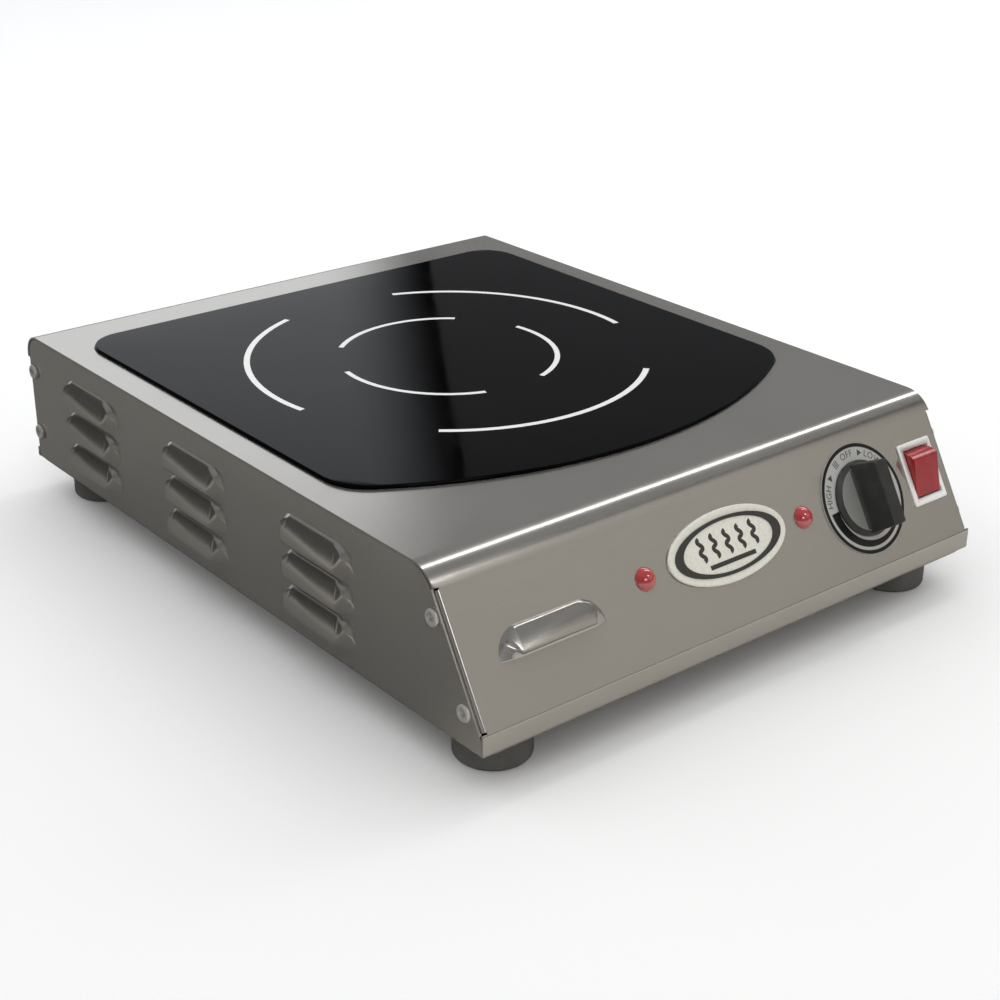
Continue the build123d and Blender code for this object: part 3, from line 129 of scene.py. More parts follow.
class Graph:
    """A material's node tree, with one method that adds any node."""

    def __init__(self, name: str) -> None:
        """Start an empty material with a Principled shader."""
        self.material = bpy.data.materials.new(name)
        self.material.use_nodes = True
        self.tree = self.material.node_tree
        self.tree.nodes.clear()
        self.output = self.tree.nodes.new("ShaderNodeOutputMaterial")
        self.shader = self.tree.nodes.new("ShaderNodeBsdfPrincipled")
        self.tree.links.new(self.shader.outputs[0], self.output.inputs[0])

    def feed(self, socket: bpy.types.NodeSocket, value: object) -> None:
        """Link a value to a socket, or set a plain number or colour on it.

        Args:
            socket: the input socket.
            value: a value, an output socket, a number or a colour.
        """
        if isinstance(value, Value):
            self.tree.links.new(value.socket, socket)
        elif isinstance(value, bpy.types.NodeSocket):
            self.tree.links.new(value, socket)
        elif isinstance(value, tuple) and socket.type == "RGBA":
            socket.default_value = (*value[:3], 1.0)
        else:
            socket.default_value = value

    def node(self, kind: str, settings: dict, sockets: dict, output: object = 0) -> Value:
        """Add a node.

        Args:
            kind: the node's type.
            settings: its settings, which are set first.
            sockets: values or links by socket name or number.
            output: name or number of the output wanted.

        Returns:
            That output.
        """
        made = self.tree.nodes.new(kind)
        for key, setting in settings.items():
            setattr(made, key, setting)
        for key, value in sockets.items():
            self.feed(made.inputs[key], value)
        return Value(self, made.outputs[output])

    def place(self, scale: tuple = (1.0, 1.0, 1.0)) -> Value:
        """Object coordinates, scaled by a Mapping node."""
        here = self.node("ShaderNodeTexCoord", {}, {}, "Object")
        return self.node("ShaderNodeMapping", {"vector_type": "POINT"}, {"Vector": here, "Scale": scale})

    def axes(self, vector: Value) -> list[Value]:
        """The three parts of a vector."""
        first = self.node("ShaderNodeSeparateXYZ", {}, {0: vector}, 0)
        made = first.socket.node
        return [first, Value(self, made.outputs[1]), Value(self, made.outputs[2])]

    def noise(self, vector: Value, scale: float = 1.0, detail: float = 3.0, rough: float = 0.55) -> Value:
        """Noise from about nought to one.

        Args:
            vector: where it is read.
            scale: cells in each unit of that vector.
            detail: octaves.
            rough: weight of the finer octaves.

        Returns:
            The noise's value.
        """
        return self.node(
            "ShaderNodeTexNoise",
            {"noise_dimensions": "3D"},
            {"Vector": vector, "Scale": scale, "Detail": detail, "Roughness": rough},
        )

    def blend(self, share: object, first: object, second: object) -> Value:
        """Colour that runs from one to another.

        Args:
            share: nought for the first, one for the second.
            first: colour at nought.
            second: colour at one.

        Returns:
            The mixed colour.
        """
        return self.node(
            "ShaderNodeMix",
            {"data_type": "RGBA", "blend_type": "MIX", "clamp_factor": True},
            {0: share, 6: first, 7: second},
            2,
        )

    def relief(self, height: Value, depth: float) -> None:
        """Feed a Bump node whose height is in units of depth metres to the shader's Normal."""
        bump = self.node("ShaderNodeBump", {}, {"Strength": 1.0, "Distance": depth, "Height": height})
        self.feed(self.shader.inputs["Normal"], bump)

    def dress(self, **sockets: object) -> None:
        """Set or link the shader's own sockets, named with underscores for spaces."""
        for key, value in sockets.items():
            self.feed(self.shader.inputs[key.replace("_", " ")], value)


# ---------------------------------------------------------------- finishes
@dataclass(frozen=True)
class SatinMetal:
    """Rolled or ground metal with fine streaks, broad handling marks and a faint tarnish."""

    light: Colour
    dark: Colour
    roughness: float = 0.3
    grain: Grain = Grain.EVEN
    streak: float = 0.06
    depth: float = 4e-6
    smudge: float = 0.05
    metallic: float = 0.88

    def build(self, name: str) -> bpy.types.Material:
        """Make the material."""
        g = Graph(name)
        streaks = g.noise(g.place(self.grain.value), detail=2.0)
        specks = g.noise(g.place(Grain.FINE.value), detail=1.0)
        hands = g.noise(g.place((14.0, 14.0, 14.0)), detail=4.0).ramp(0.35, 0.75)
        tone = streaks * 0.55 + specks * 0.3 + hands * 0.15
        g.dress(
            Base_Color=g.blend(tone, self.dark, self.light),
            Metallic=self.metallic,
            Roughness=self.roughness + (streaks - 0.5) * self.streak + (hands - 0.5) * self.smudge,
        )
        g.relief(streaks * 0.7 + specks * 0.3, self.depth)
        return g.material


@dataclass(frozen=True)
class BlackCeramic:
    """Polished black glass-ceramic with a trace of haze where pans have stood."""

    body: Colour = (0.0012, 0.0012, 0.0014)
    haze: Colour = (0.0035, 0.0035, 0.004)

    def build(self, name: str) -> bpy.types.Material:
        """Make the material."""
        g = Graph(name)
        wiped = g.noise(g.place((30.0, 9.0, 30.0)), detail=5.0, rough=0.6).ramp(0.45, 0.8)
        grit = g.noise(g.place((2600.0,) * 3), detail=1.0)
        g.dress(
            Base_Color=g.blend(wiped * 0.5 + grit * 0.2, self.body, self.haze),
            Roughness=0.045 + wiped * 0.05 + (grit - 0.5) * 0.02,
            IOR=1.17,
        )
        return g.material


@dataclass(frozen=True)
class FiredEnamel:
    """Ceramic ink or stove enamel: opaque, slightly mottled, a little proud of its ground."""

    colour: Colour
    shade: Colour
    roughness: float = 0.4
    coat: float = 0.0

    def build(self, name: str) -> bpy.types.Material:
        """Make the material."""
        g = Graph(name)
        mottle = g.noise(g.place((420.0,) * 3), detail=3.0)
        fine = g.noise(g.place((3800.0,) * 3), detail=1.0)
        g.dress(
            Base_Color=g.blend(mottle * 0.7 + fine * 0.3, self.shade, self.colour),
            Roughness=self.roughness + (mottle - 0.5) * 0.12,
            Coat_Weight=self.coat,
            Coat_Roughness=0.08,
        )
        g.relief(fine * 0.4 + mottle * 0.6, 6e-6)
        return g.material


@dataclass(frozen=True)
class MouldedPlastic:
    """Moulded plastic with a spark-eroded grain, and paler where it is rubbed."""

    colour: Colour
    rubbed: Colour
    roughness: float = 0.42
    grain: float = 2400.0
    depth: float = 1.2e-5
    coat: float = 0.0

    def build(self, name: str) -> bpy.types.Material:
        """Make the material."""
        g = Graph(name)
        grain = g.noise(g.place((self.grain,) * 3), detail=2.0)
        rub = g.noise(g.place((120.0,) * 3), detail=4.0).ramp(0.4, 0.8)
        g.dress(
            Base_Color=g.blend(rub * 0.7 + grain * 0.3, self.colour, self.rubbed),
            Roughness=self.roughness + (grain - 0.5) * 0.08 - rub * 0.06,
            Coat_Weight=self.coat,
            Coat_Roughness=0.06,
        )
        g.relief(grain, self.depth)
        return g.material


@dataclass(frozen=True)
class SoftRubber:
    """Matt rubber with bloom and dust near the ground."""

    colour: Colour
    bloom: Colour
    roughness: float = 0.72

    def build(self, name: str) -> bpy.types.Material:
        """Make the material."""
        g = Graph(name)
        grain = g.noise(g.place((1800.0,) * 3), detail=2.0)
        dust = g.noise(g.place((90.0,) * 3), detail=5.0).ramp(0.35, 0.8)
        height = g.axes(g.place())[2]
        low = 1.0 - height.ramp(0.0, 0.012)
        g.dress(
            Base_Color=g.blend(dust * 0.45 + low * 0.35 + grain * 0.15, self.colour, self.bloom),
            Roughness=self.roughness + (grain - 0.5) * 0.12,
        )
        g.relief(grain * 0.7 + dust * 0.3, 2.5e-5)
        return g.material


@dataclass(frozen=True)
class SignalLens:
    """Clear red plastic, deeper in the middle, with a painted rim sheen: its colour turns paler where the
    lens is seen edge-on.
    """

    deep: Colour
    # rim is the painted sheen colour, shown where the lens is seen edge-on
    rim: Colour

    def build(self, name: str) -> bpy.types.Material:
        """Make the material."""
        g = Graph(name)
        # edge is a view-angle mask that paints the paler rim sheen into the base colour
        edge = g.node("ShaderNodeLayerWeight", {}, {"Blend": 0.35}, "Facing")
        swirl = g.noise(g.place((300.0,) * 3), detail=2.0)
        g.dress(
            Base_Color=g.blend(edge * 0.8 + swirl * 0.2, self.deep, self.rim),
            Roughness=0.12 + swirl * 0.06,
            Coat_Weight=1.0,
            Coat_Roughness=0.02,
            Coat_IOR=2.2,
        )
        return g.material


@dataclass(frozen=True)
class WoundWire:
    """Stranded copper under lacquer, its strands lying along the turns."""

    copper: Colour
    shadow: Colour

    def build(self, name: str) -> bpy.types.Material:
        """Make the material."""
        g = Graph(name)
        strands = g.noise(g.place((2200.0, 2200.0, 900.0)), detail=1.0)
        heat = g.noise(g.place((40.0,) * 3), detail=3.0)
        g.dress(
            Base_Color=g.blend(strands * 0.6 + heat * 0.4, self.shadow, self.copper),
            Metallic=0.9,
            Roughness=0.32 + (strands - 0.5) * 0.2,
            Coat_Weight=0.5,
            Coat_Roughness=0.15,
        )
        g.relief(strands, 8e-5)
        return g.material


@dataclass(frozen=True)
class PrintedBoard:
    """Solder mask over copper tracks."""

    mask: Colour
    track: Colour
    pitch: float = 220.0

    def build(self, name: str) -> bpy.types.Material:
        """Make the material."""
        g = Graph(name)
        cells = g.node(
            "ShaderNodeTexVoronoi",
            {"distance": "MANHATTAN", "feature": "DISTANCE_TO_EDGE"},
            {"Vector": g.place((self.pitch, self.pitch, 20.0)), "Scale": 1.0, "Randomness": 0.8},
        )
        tracks = 1.0 - cells.ramp(0.05, 0.09)
        weave = g.noise(g.place((1500.0,) * 3), detail=1.0)
        g.dress(
            Base_Color=g.blend(tracks * 0.7 + weave * 0.2, self.mask, self.track),
            Roughness=0.34 + (weave - 0.5) * 0.1,
            Coat_Weight=0.3,
        )
        g.relief(tracks, 3e-5)
        return g.material


FINISHES = {
    "steel": SatinMetal((0.66, 0.635, 0.59), (0.5, 0.48, 0.445), 0.2, Grain.ACROSS),
    "zinc": SatinMetal((0.74, 0.72, 0.69), (0.6, 0.585, 0.56), 0.34, Grain.EVEN, metallic=0.6),
    "black_glass": BlackCeramic(),
    "white_enamel": FiredEnamel((0.9, 0.9, 0.9), (0.8, 0.8, 0.79)),
    "black_silicone": SoftRubber((0.012, 0.012, 0.012), (0.03, 0.03, 0.03), 0.5),
    "mica": FiredEnamel((0.66, 0.6, 0.5), (0.5, 0.44, 0.35), 0.55),
    "copper_wire": WoundWire((0.72, 0.36, 0.2), (0.42, 0.18, 0.09)),
    "tray_resin": MouldedPlastic((0.05, 0.05, 0.05), (0.1, 0.1, 0.1), 0.6),
    "ferrite": MouldedPlastic((0.045, 0.045, 0.05), (0.09, 0.09, 0.095), 0.7, 900.0, 3e-5),
    "spring_steel": SatinMetal((0.6, 0.6, 0.6), (0.42, 0.42, 0.43), 0.3, Grain.ALONG),
    "aluminium": SatinMetal((0.86, 0.86, 0.87), (0.72, 0.72, 0.73), 0.38, Grain.ALONG),
    "board_green": PrintedBoard((0.012, 0.12, 0.05), (0.04, 0.26, 0.11)),
    "black_plastic": MouldedPlastic((0.016, 0.016, 0.018), (0.04, 0.04, 0.042), 0.45),
    "capacitor_yellow": MouldedPlastic((0.72, 0.45, 0.05), (0.8, 0.56, 0.12), 0.3, 600.0, 1e-5, 0.3),
    "choke_winding": WoundWire((0.62, 0.3, 0.12), (0.36, 0.15, 0.06)),
    "terminal_green": MouldedPlastic((0.04, 0.28, 0.13), (0.08, 0.36, 0.2), 0.4),
    "dial_grey": FiredEnamel((0.54, 0.54, 0.52), (0.46, 0.46, 0.44), 0.34),
    "dial_ink": FiredEnamel((0.006, 0.006, 0.006), (0.003, 0.003, 0.003), 0.3),
    "letter_ink": FiredEnamel((0.09, 0.09, 0.085), (0.06, 0.06, 0.057), 0.4),
    "knob_inlay": SatinMetal((0.36, 0.36, 0.34), (0.28, 0.28, 0.262), 0.42, Grain.EVEN, metallic=0.25),
    "knob_black": MouldedPlastic((0.026, 0.026, 0.025), (0.05, 0.05, 0.048), 0.42),
    "bezel_white": MouldedPlastic((0.97, 0.96, 0.92), (0.99, 0.98, 0.95), 0.28, 1500.0, 4e-6, 0.3),
    "rocker_red": MouldedPlastic((0.36, 0.012, 0.018), (0.44, 0.02, 0.028), 0.24, 1400.0, 4e-6, 0.35),
    # the lens's second colour is its painted rim sheen, shown at grazing view angles
    "lens_red": SignalLens((0.42, 0.01, 0.015), (0.8, 0.1, 0.1)),
    "holder_black": MouldedPlastic((0.02, 0.02, 0.02), (0.05, 0.05, 0.05)),
    "badge_cream": FiredEnamel((0.9, 0.88, 0.8), (0.83, 0.81, 0.73), 0.28, 0.5),
    "badge_dark": FiredEnamel((0.05, 0.048, 0.042), (0.03, 0.03, 0.027), 0.35, 0.3),
    "foot_rubber": SoftRubber((0.09, 0.09, 0.085), (0.16, 0.158, 0.15), 0.36),
    "lead_silicone": SoftRubber((0.3, 0.03, 0.02), (0.42, 0.07, 0.05), 0.45),
}


# ---------------------------------------------------------------- modelling steps
class Bench:
    """Modelling steps that every piece shares."""

    @staticmethod
    def clear() -> None:
        """Leave edit mode and deselect everything."""
        if bpy.context.object is not None and bpy.context.object.mode != "OBJECT":
            bpy.ops.object.mode_set(mode="OBJECT")
        bpy.ops.object.select_all(action="DESELECT")

    @staticmethod
    def take(piece: bpy.types.Object) -> None:
        """Select one object alone and make it active."""
        Bench.clear()
        piece.select_set(True)
        bpy.context.view_layer.objects.active = piece

    @staticmethod
    def pick(piece: bpy.types.Object, wanted: Callable[[bpy.types.MeshPolygon], bool]) -> None:
        """Select the faces that pass a test and enter edit mode on them.

        Args:
            piece: the object.
            wanted: says of each face whether it is selected.
        """
        Bench.take(piece)
        mesh = piece.data
        for part in (*mesh.vertices, *mesh.edges, *mesh.polygons):
            part.select = False
        for face in mesh.polygons:
            face.select = bool(wanted(face))
        bpy.ops.object.mode_set(mode="EDIT")
        bpy.ops.mesh.select_mode(type="FACE")

    @staticmethod
    def pick_points(piece: bpy.types.Object, wanted: Callable[[Vector], bool]) -> None:
        """Select the points that pass a test and enter edit mode on them.

        Args:
            piece: the object.
            wanted: says of each point's place whether it is selected.
        """
        Bench.take(piece)
        mesh = piece.data
        for part in (*mesh.vertices, *mesh.edges, *mesh.polygons):
            part.select = False
        for vertex in mesh.vertices:
            vertex.select = bool(wanted(vertex.co))
        bpy.ops.object.mode_set(mode="EDIT")
        bpy.ops.mesh.select_mode(type="VERT")

    @staticmethod
    def crease(piece: bpy.types.Object, flats: Iterable[Vector], least: float = 13.0) -> None:
        """Mark the edges where a flat sheet meets a pressed or cut shape as sharp.

        Args:
            piece: the object.
            flats: normals of its flat sheets.
            least: smallest turn that is a crease, in degrees.
        """
        mesh = piece.data
        level = cos(radians(0.5))
        sides: dict[tuple, list[int]] = {}
        for face in mesh.polygons:
            for key in face.edge_keys:
                sides.setdefault(key, []).append(face.index)
        flat = [any(face.normal.dot(normal) > level for normal in flats) for face in mesh.polygons]
        sharp = cos(radians(least))
        for edge in mesh.edges:
            pair = sides.get(tuple(sorted(edge.vertices)), [])
            if len(pair) == 2 and flat[pair[0]] != flat[pair[1]]:
                turn = mesh.polygons[pair[0]].normal.dot(mesh.polygons[pair[1]].normal)
                if turn < sharp:
                    edge.use_edge_sharp = True

    @staticmethod
    def done() -> None:
        """Leave edit mode."""
        bpy.ops.object.mode_set(mode="OBJECT")

    @staticmethod
    def settle(piece: bpy.types.Object, place: Matrix | None = None) -> bpy.types.Object:
        """Put an object's own transform, and then a place, into its mesh.

        Args:
            piece: the object.
            place: matrix from its working frame to the hob's frame.

        Returns:
            The same object, at the origin.
        """
        bpy.context.view_layer.update()
        world = piece.matrix_world.copy()
        piece.data.transform(place @ world if place is not None else world)
        piece.matrix_world = Matrix.Identity(4)
        return piece

    @staticmethod
    def modify(piece: bpy.types.Object, kind: str, **settings: object) -> None:
        """Add a modifier with its settings and apply it.

        Args:
            piece: the object.
            kind: the modifier's type.
            settings: its settings by name.
        """
        Bench.take(piece)
        made = piece.modifiers.new(kind.title(), kind)
        for key, setting in settings.items():
            setattr(made, key, setting)
        bpy.ops.object.modifier_apply(modifier=made.name)

    @staticmethod
    def smooth(piece: bpy.types.Object, angle: float = 32.0, flats: Iterable[Vector] = ()) -> None:
        """Shade smooth below an angle, with flat faces kept flat.

        Args:
            piece: the object.
            angle: edges sharper than this stay sharp, in degrees.
            flats: normals of its flat sheets, whose creases stay sharp.
        """
        Bench.take(piece)
        bpy.ops.object.shade_smooth_by_angle(angle=radians(angle))
        Bench.crease(piece, flats)
        Bench.modify(piece, "WEIGHTED_NORMAL", keep_sharp=True, weight=80)

    @staticmethod
    def outward(piece: bpy.types.Object) -> None:
        """Merge doubles and turn the faces outwards."""
        Bench.pick(piece, lambda face: True)
        bpy.ops.mesh.remove_doubles(threshold=0.002 * MM)
        bpy.ops.mesh.normals_make_consistent(inside=False)
        Bench.done()

    @staticmethod
    def join(name: str, parts: Iterable[bpy.types.Object]) -> bpy.types.Object:
        """Join parts into one object.

        Args:
            name: the joined object's name.
            parts: the objects to join.

        Returns:
            The joined object.
        """
        parts = list(parts)
        Bench.take(parts[0])
        for part in parts[1:]:
            part.select_set(True)
        if len(parts) > 1:
            bpy.ops.object.join()
        joined = bpy.context.object
        joined.name = name
        return joined

    @staticmethod
    def from_node(node: str, name: str, angle: float = 32.0,
                  flats: Iterable[Vector] = ()) -> bpy.types.Object:
        """Copy a frame node's mesh, weld it and shade it smooth.

        Args:
            node: the node's name.
            name: the new piece's name.
            angle: edges sharper than this stay sharp, in degrees.
            flats: normals of its flat sheets, whose creases stay sharp.

        Returns:
            The new object.
        """
        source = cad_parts[node]
        piece = bpy.data.objects.new(name, source.data.copy())
        bpy.context.scene.collection.objects.link(piece)
        piece.data.materials.clear()
        Bench.pick(piece, lambda face: True)
        bpy.ops.mesh.remove_doubles(threshold=0.001 * MM)
        Bench.done()
        Bench.smooth(piece, angle, flats)
        return piece


@dataclass
class Finisher:
    """Hands out one material for each slot, and sees pieces onto their bodies."""

    made: dict[str, bpy.types.Material] = field(default_factory=dict)

    def material(self, slot: str) -> bpy.types.Material:
        """The material of a slot, made when first asked for."""
        if slot not in self.made:
            self.made[slot] = FINISHES[slot].build(f"{slot}_finish")
        return self.made[slot]

    def fit(self, piece: bpy.types.Object, slot: str, body: Body, *nodes: str,
            finish: str = "") -> bpy.types.Object:
        """Give a piece its finish and its body.

        Args:
            piece: the finished object.
            slot: the material slot that it takes its finish from.
            body: the body that it rides on.
            nodes: the frame nodes that it stands for.
            finish: a print or inlay's own finish, where it isn't the slot's.

        Returns:
            The same object.
        """
        piece.data.materials.clear()
        piece.data.materials.append(self.material(finish or slot))
        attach(piece, body.value)
        if nodes:
            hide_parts(*nodes)
        LOG.info("%s: %d faces, %s, on %s", piece.name, len(piece.data.polygons), slot, body.value)
        return piece

    def dress_nodes(self) -> None:
        """Give every frame node the material of its own slot."""
        for name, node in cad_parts.items():
            for place in node.material_slots:
                slot = place.material.name.split(".")[0]
                place.material = self.material(slot)
            LOG.info("%s dressed", name)


@dataclass(frozen=True)
class PanelFrame:
    """The sloping control panel: x across, y up the slope, z out of it, origin at its top edge."""

    run: float = 38.3 * MM
    drop: float = 65.2 * MM
    edge: Vector = field(default_factory=lambda: Vector((0.0, -172.555 * MM, 95.4 * MM)))

    def normal(self) -> Vector:
        """Direction straight out of the panel."""
        return Vector((0.0, -self.drop, self.run)).normalized()

    def place(self, x: float, down: float, out: float = 0.0) -> Matrix:
        """Matrix from a piece's own frame to a spot on the panel.

        Args:
            x: across, from the middle, in metres.
            down: down the slope from its top edge, in metres.
            out: height above the panel's face, in metres.

        Returns:
            The placing matrix.
        """
        length = sqrt(self.run**2 + self.drop**2)
        up = Vector((0.0, self.run, self.drop)) / length
        normal = self.normal()
        spot = self.edge + Vector((x, 0.0, 0.0)) - up * down + normal * out
        turn = Matrix((Vector((1.0, 0.0, 0.0)), up, normal)).transposed().to_4x4()
        return Matrix.Translation(spot) @ turn


# ---------------------------------------------------------------- sub-assemblies
@dataclass
class Casing:
    """Base pan, top cover and the screws that hold them."""

    finisher: Finisher
    panel: PanelFrame

    def build(self) -> None:
        """Make the casing's pieces."""
        housing = Body.HOUSING
        slope = self.panel.normal()
        ways = (Vector((1.0, 0.0, 0.0)), Vector((0.0, 1.0, 0.0)), Vector((0.0, 0.0, 1.0)), slope)
        walls = (*ways, *(-way for way in ways))
        pan = Bench.from_node("base_pan", "pan_shell", 38.0, walls)
        self.finisher.fit(pan, "steel", housing, "base_pan")
        cover = Bench.from_node("top_cover", "cover_shell", 38.0, walls)
        self.finisher.fit(cover, "steel", housing, "top_cover")
        self.finisher.fit(Bench.from_node("cover_screws", "casing_screws"), "zinc", housing, "cover_screws")


@dataclass
class CookingTop:
    """Glass plate of the cooking top; its fired ring marking stays a frame node, dressed with the others.
    """

    finisher: Finisher

    def build(self) -> None:
        """Make the cooking top's pieces."""
        glass = Bench.from_node("glass_plate", "ceramic_plate", 40.0)
        self.finisher.fit(glass, "black_glass", Body.HOUSING, "glass_plate")


@dataclass
class Dial:
    """Printed dial plate round the knob, its print placed by clock angles in degrees."""

    finisher: Finisher
    panel: PanelFrame
    x: float = 95.5 * MM
    down: float = 40.0 * MM
    face: float = 0.8 * MM
    radius: float = 28.25 * MM
    border: float = 1.9 * MM
    margin: float = 0.05 * MM
    ink: float = 0.06 * MM
    wedge_inset: float = 3.6 * MM
    wedge_width: float = 5.3 * MM
    wedge_taper: float = 3.4 * MM
    wedge_start: float = -95.0
    wedge_sweep: float = 126.0
    letter: float = 4.8 * MM
    letter_gap: float = 0.16
    letter_radius: float = 23.4 * MM
    words: tuple[tuple[str, float], ...] = (("HIGH", -74.0), ("OFF", -6.0), ("LOW", 40.0))
    arrow_size: float = 2.0 * MM
    arrows: tuple[float, ...] = (-50.0, 16.5)
    stroke: float = 0.5 * MM
    strokes: tuple[float, ...] = (-32.0, -29.0, -26.0)

    def ring(self, name: str, inner: float, outer: float, start: float, sweep: float,
             taper: float = 0.0) -> bpy.types.Object:
        """Flat printed arc, made by spinning an edge and thickening the face.

        Args:
            name: the piece's name.
            inner: inner radius at the start.
            outer: outer radius.
            start: clock angle of its start, in degrees.
            sweep: how far it runs anticlockwise, in degrees.
            taper: how much thinner it is at its end, in metres.

        Returns:
            The arc, in the dial's own frame.
        """
        Bench.clear()
        bpy.ops.mesh.primitive_plane_add(size=outer - inner, location=(0.0, (outer + inner) / 2, 0.0))
        arc = bpy.context.object
        arc.name = name
        Bench.settle(arc)
        Bench.pick_points(arc, lambda co: co.x > 0.0)
        bpy.ops.mesh.delete(type="VERT")
        bpy.ops.mesh.select_all(action="SELECT")
        bpy.ops.transform.translate(value=((outer - inner) / 2, 0.0, 0.0))
        bpy.ops.mesh.select_all(action="SELECT")
        steps = max(8, int(sweep / 3))
        bpy.ops.mesh.spin(steps=steps, angle=-radians(sweep), center=(0.0, 0.0, 0.0), axis=(0.0, 0.0, 1.0))
        Bench.done()
        if taper:
            self.pinch(arc, outer, sweep, taper)
        arc.data.transform(Matrix.Rotation(-radians(start), 4, "Z"))
        return self.thicken(arc)

    def pinch(self, arc: bpy.types.Object, outer: float, sweep: float, taper: float) -> None:
        """Draw an arc's inner edge outwards, more towards its end.

        Args:
            arc: the arc, still flat.
            outer: its outer radius, which stays.
            sweep: how far it runs, in degrees.
            taper: how far the inner edge moves at its end, in metres.
        """
        for vertex in arc.data.vertices:
            radius = vertex.co.xy.length
            if radius < outer - self.margin:
                turned = Vector((0.0, 1.0)).angle_signed(vertex.co.xy) * 180.0 / pi
                share = (-turned % 360.0) / sweep
                grown = (radius + taper * min(share, 1.0)) / radius
                vertex.co.x *= grown
                vertex.co.y *= grown

    def thicken(self, print_: bpy.types.Object) -> bpy.types.Object:
        """Turn a flat print into a thin closed solid that stands on its ground.

        Args:
            print_: the flat print.

        Returns:
            The same object.
        """
        Bench.outward(print_)
        if sum(face.normal.z * face.area for face in print_.data.polygons) < 0.0:
            print_.data.flip_normals()
        Bench.modify(print_, "SOLIDIFY", thickness=self.ink, offset=1.0)
        return print_

    def around(self, clock: float) -> Matrix:
        """Place and turn of a mark on the circle of the letters, at a clock angle in degrees."""
        return Matrix.Rotation(-radians(clock), 4, "Z") @ Matrix.Translation((0.0, self.letter_radius, 0.0))

    def word(self, text: str, clock: float) -> list[bpy.types.Object]:
        """Letters set round the dial.

        Args:
            text: the letters.
            clock: clock angle of the word's middle, in degrees.

        Returns:
            One object for each letter.
        """
        made, widths = [], []
        for letter in text:
            Bench.clear()
            bpy.ops.object.text_add(location=(0.0, 0.0, 0.0))
            piece = bpy.context.object
            piece.data.body = letter
            piece.data.size = self.letter
            piece.data.align_x = "CENTER"
            piece.data.align_y = "CENTER"
            piece.data.extrude = self.ink / 2
            bpy.ops.object.convert(target="MESH")
            piece = bpy.context.object
            widths.append(piece.dimensions.x)
            made.append(piece)
        gap = self.letter_gap * self.letter
        total = sum(widths) + gap * (len(widths) - 1)
        at = -total / 2
        for piece, width in zip(made, widths):
            middle = clock + degrees((at + width / 2) / self.letter_radius)
            at += width + gap
            Bench.settle(piece, Matrix.Translation((0.0, 0.0, self.ink / 2)) @ self.around(middle))
        return made

    def arrow(self, clock: float) -> bpy.types.Object:
        """Small triangle that points clockwise round the dial."""
        Bench.clear()
        bpy.ops.mesh.primitive_circle_add(vertices=3, radius=self.arrow_size, fill_type="NGON")
        piece = bpy.context.object
        Bench.settle(piece, self.around(clock) @ Matrix.Rotation(-pi / 2, 4, "Z"))
        return self.thicken(piece)

    def bar(self, clock: float) -> bpy.types.Object:
        """Short radial stroke between the words."""
        Bench.clear()
        bpy.ops.mesh.primitive_plane_add(size=1.0)
        piece = bpy.context.object
        piece.scale = (self.stroke, 0.8 * self.letter, 1.0)
        Bench.settle(piece, self.around(clock))
        return self.thicken(piece)

    def build(self) -> None:
        """Make the plate and its print."""
        plate = Bench.from_node("dial_plate", "dial_face", 40.0)
        self.finisher.fit(plate, "dial_grey", Body.HOUSING, "dial_plate")
        ground = self.panel.place(self.x, self.down, self.face)
        rim = self.ring("dial_border", self.radius - self.border, self.radius - self.margin, 0.0, 360.0)
        outer = self.radius - self.wedge_inset
        wedge = self.ring("dial_wedge", outer - self.wedge_width, outer, self.wedge_start, self.wedge_sweep,
                          self.wedge_taper)
        letters = [letter for text, clock in self.words for letter in self.word(text, clock)]
        letters += [self.arrow(clock) for clock in self.arrows]
        letters += [self.bar(clock) for clock in self.strokes]
        words = Bench.join("dial_letters", letters)
        Bench.outward(words)
        for piece, ink in ((rim, "dial_ink"), (wedge, "dial_ink"), (words, "letter_ink")):
            Bench.settle(piece, ground)
            self.finisher.fit(piece, "badge_dark", Body.HOUSING, finish=ink)


@dataclass
class Controls:
    """Knob, rocker switch and pilot lamps."""

    finisher: Finisher
    panel: PanelFrame
    knob_x: float = 95.5 * MM
    knob_down: float = 40.0 * MM
    skirt_top: float = 3.3 * MM
    inlay_radius: float = 16.7 * MM
    inlay_depth: float = 0.12 * MM
    key_edge: float = 0.35 * MM

    def inlay(self) -> bpy.types.Object:
        """Thin metal disc let into the knob's skirt, round the grip."""
        Bench.clear()
        depth = 2 * self.inlay_depth
        bpy.ops.mesh.primitive_cylinder_add(vertices=96, radius=self.inlay_radius, depth=depth)
        disc = bpy.context.object
        disc.name = "knob_inlay"
        Bench.settle(disc)
        Bench.modify(disc, "BEVEL", width=0.4 * self.inlay_depth, segments=2, limit_method="ANGLE")
        Bench.smooth(disc, 50.0)
        return Bench.settle(disc, self.panel.place(self.knob_x, self.knob_down, self.skirt_top))

    def build(self) -> None:
        """Make the controls' pieces."""
        fit = self.finisher.fit
        fit(Bench.from_node("control_knob", "knob_cap", 25.0), "knob_black", Body.KNOB, "control_knob")
        fit(self.inlay(), "knob_black", Body.KNOB, finish="knob_inlay")
        key = Bench.from_node("rocker_button", "rocker_key", 25.0)
        edges = {"limit_method": "ANGLE", "angle_limit": radians(35.0)}
        Bench.modify(key, "BEVEL", width=self.key_edge, segments=3, **edges)
        Bench.smooth(key, 25.0)
        fit(key, "rocker_red", Body.ROCKER, "rocker_button")
        bezel = Bench.from_node("rocker_bezel", "rocker_surround", 30.0)
        fit(bezel, "bezel_white", Body.HOUSING, "rocker_bezel")
        for side in ("left", "right"):
            lens = Bench.from_node(f"pilot_lens_{side}", f"lamp_lens_{side}", 50.0)
            fit(lens, "lens_red", Body.HOUSING, f"pilot_lens_{side}")


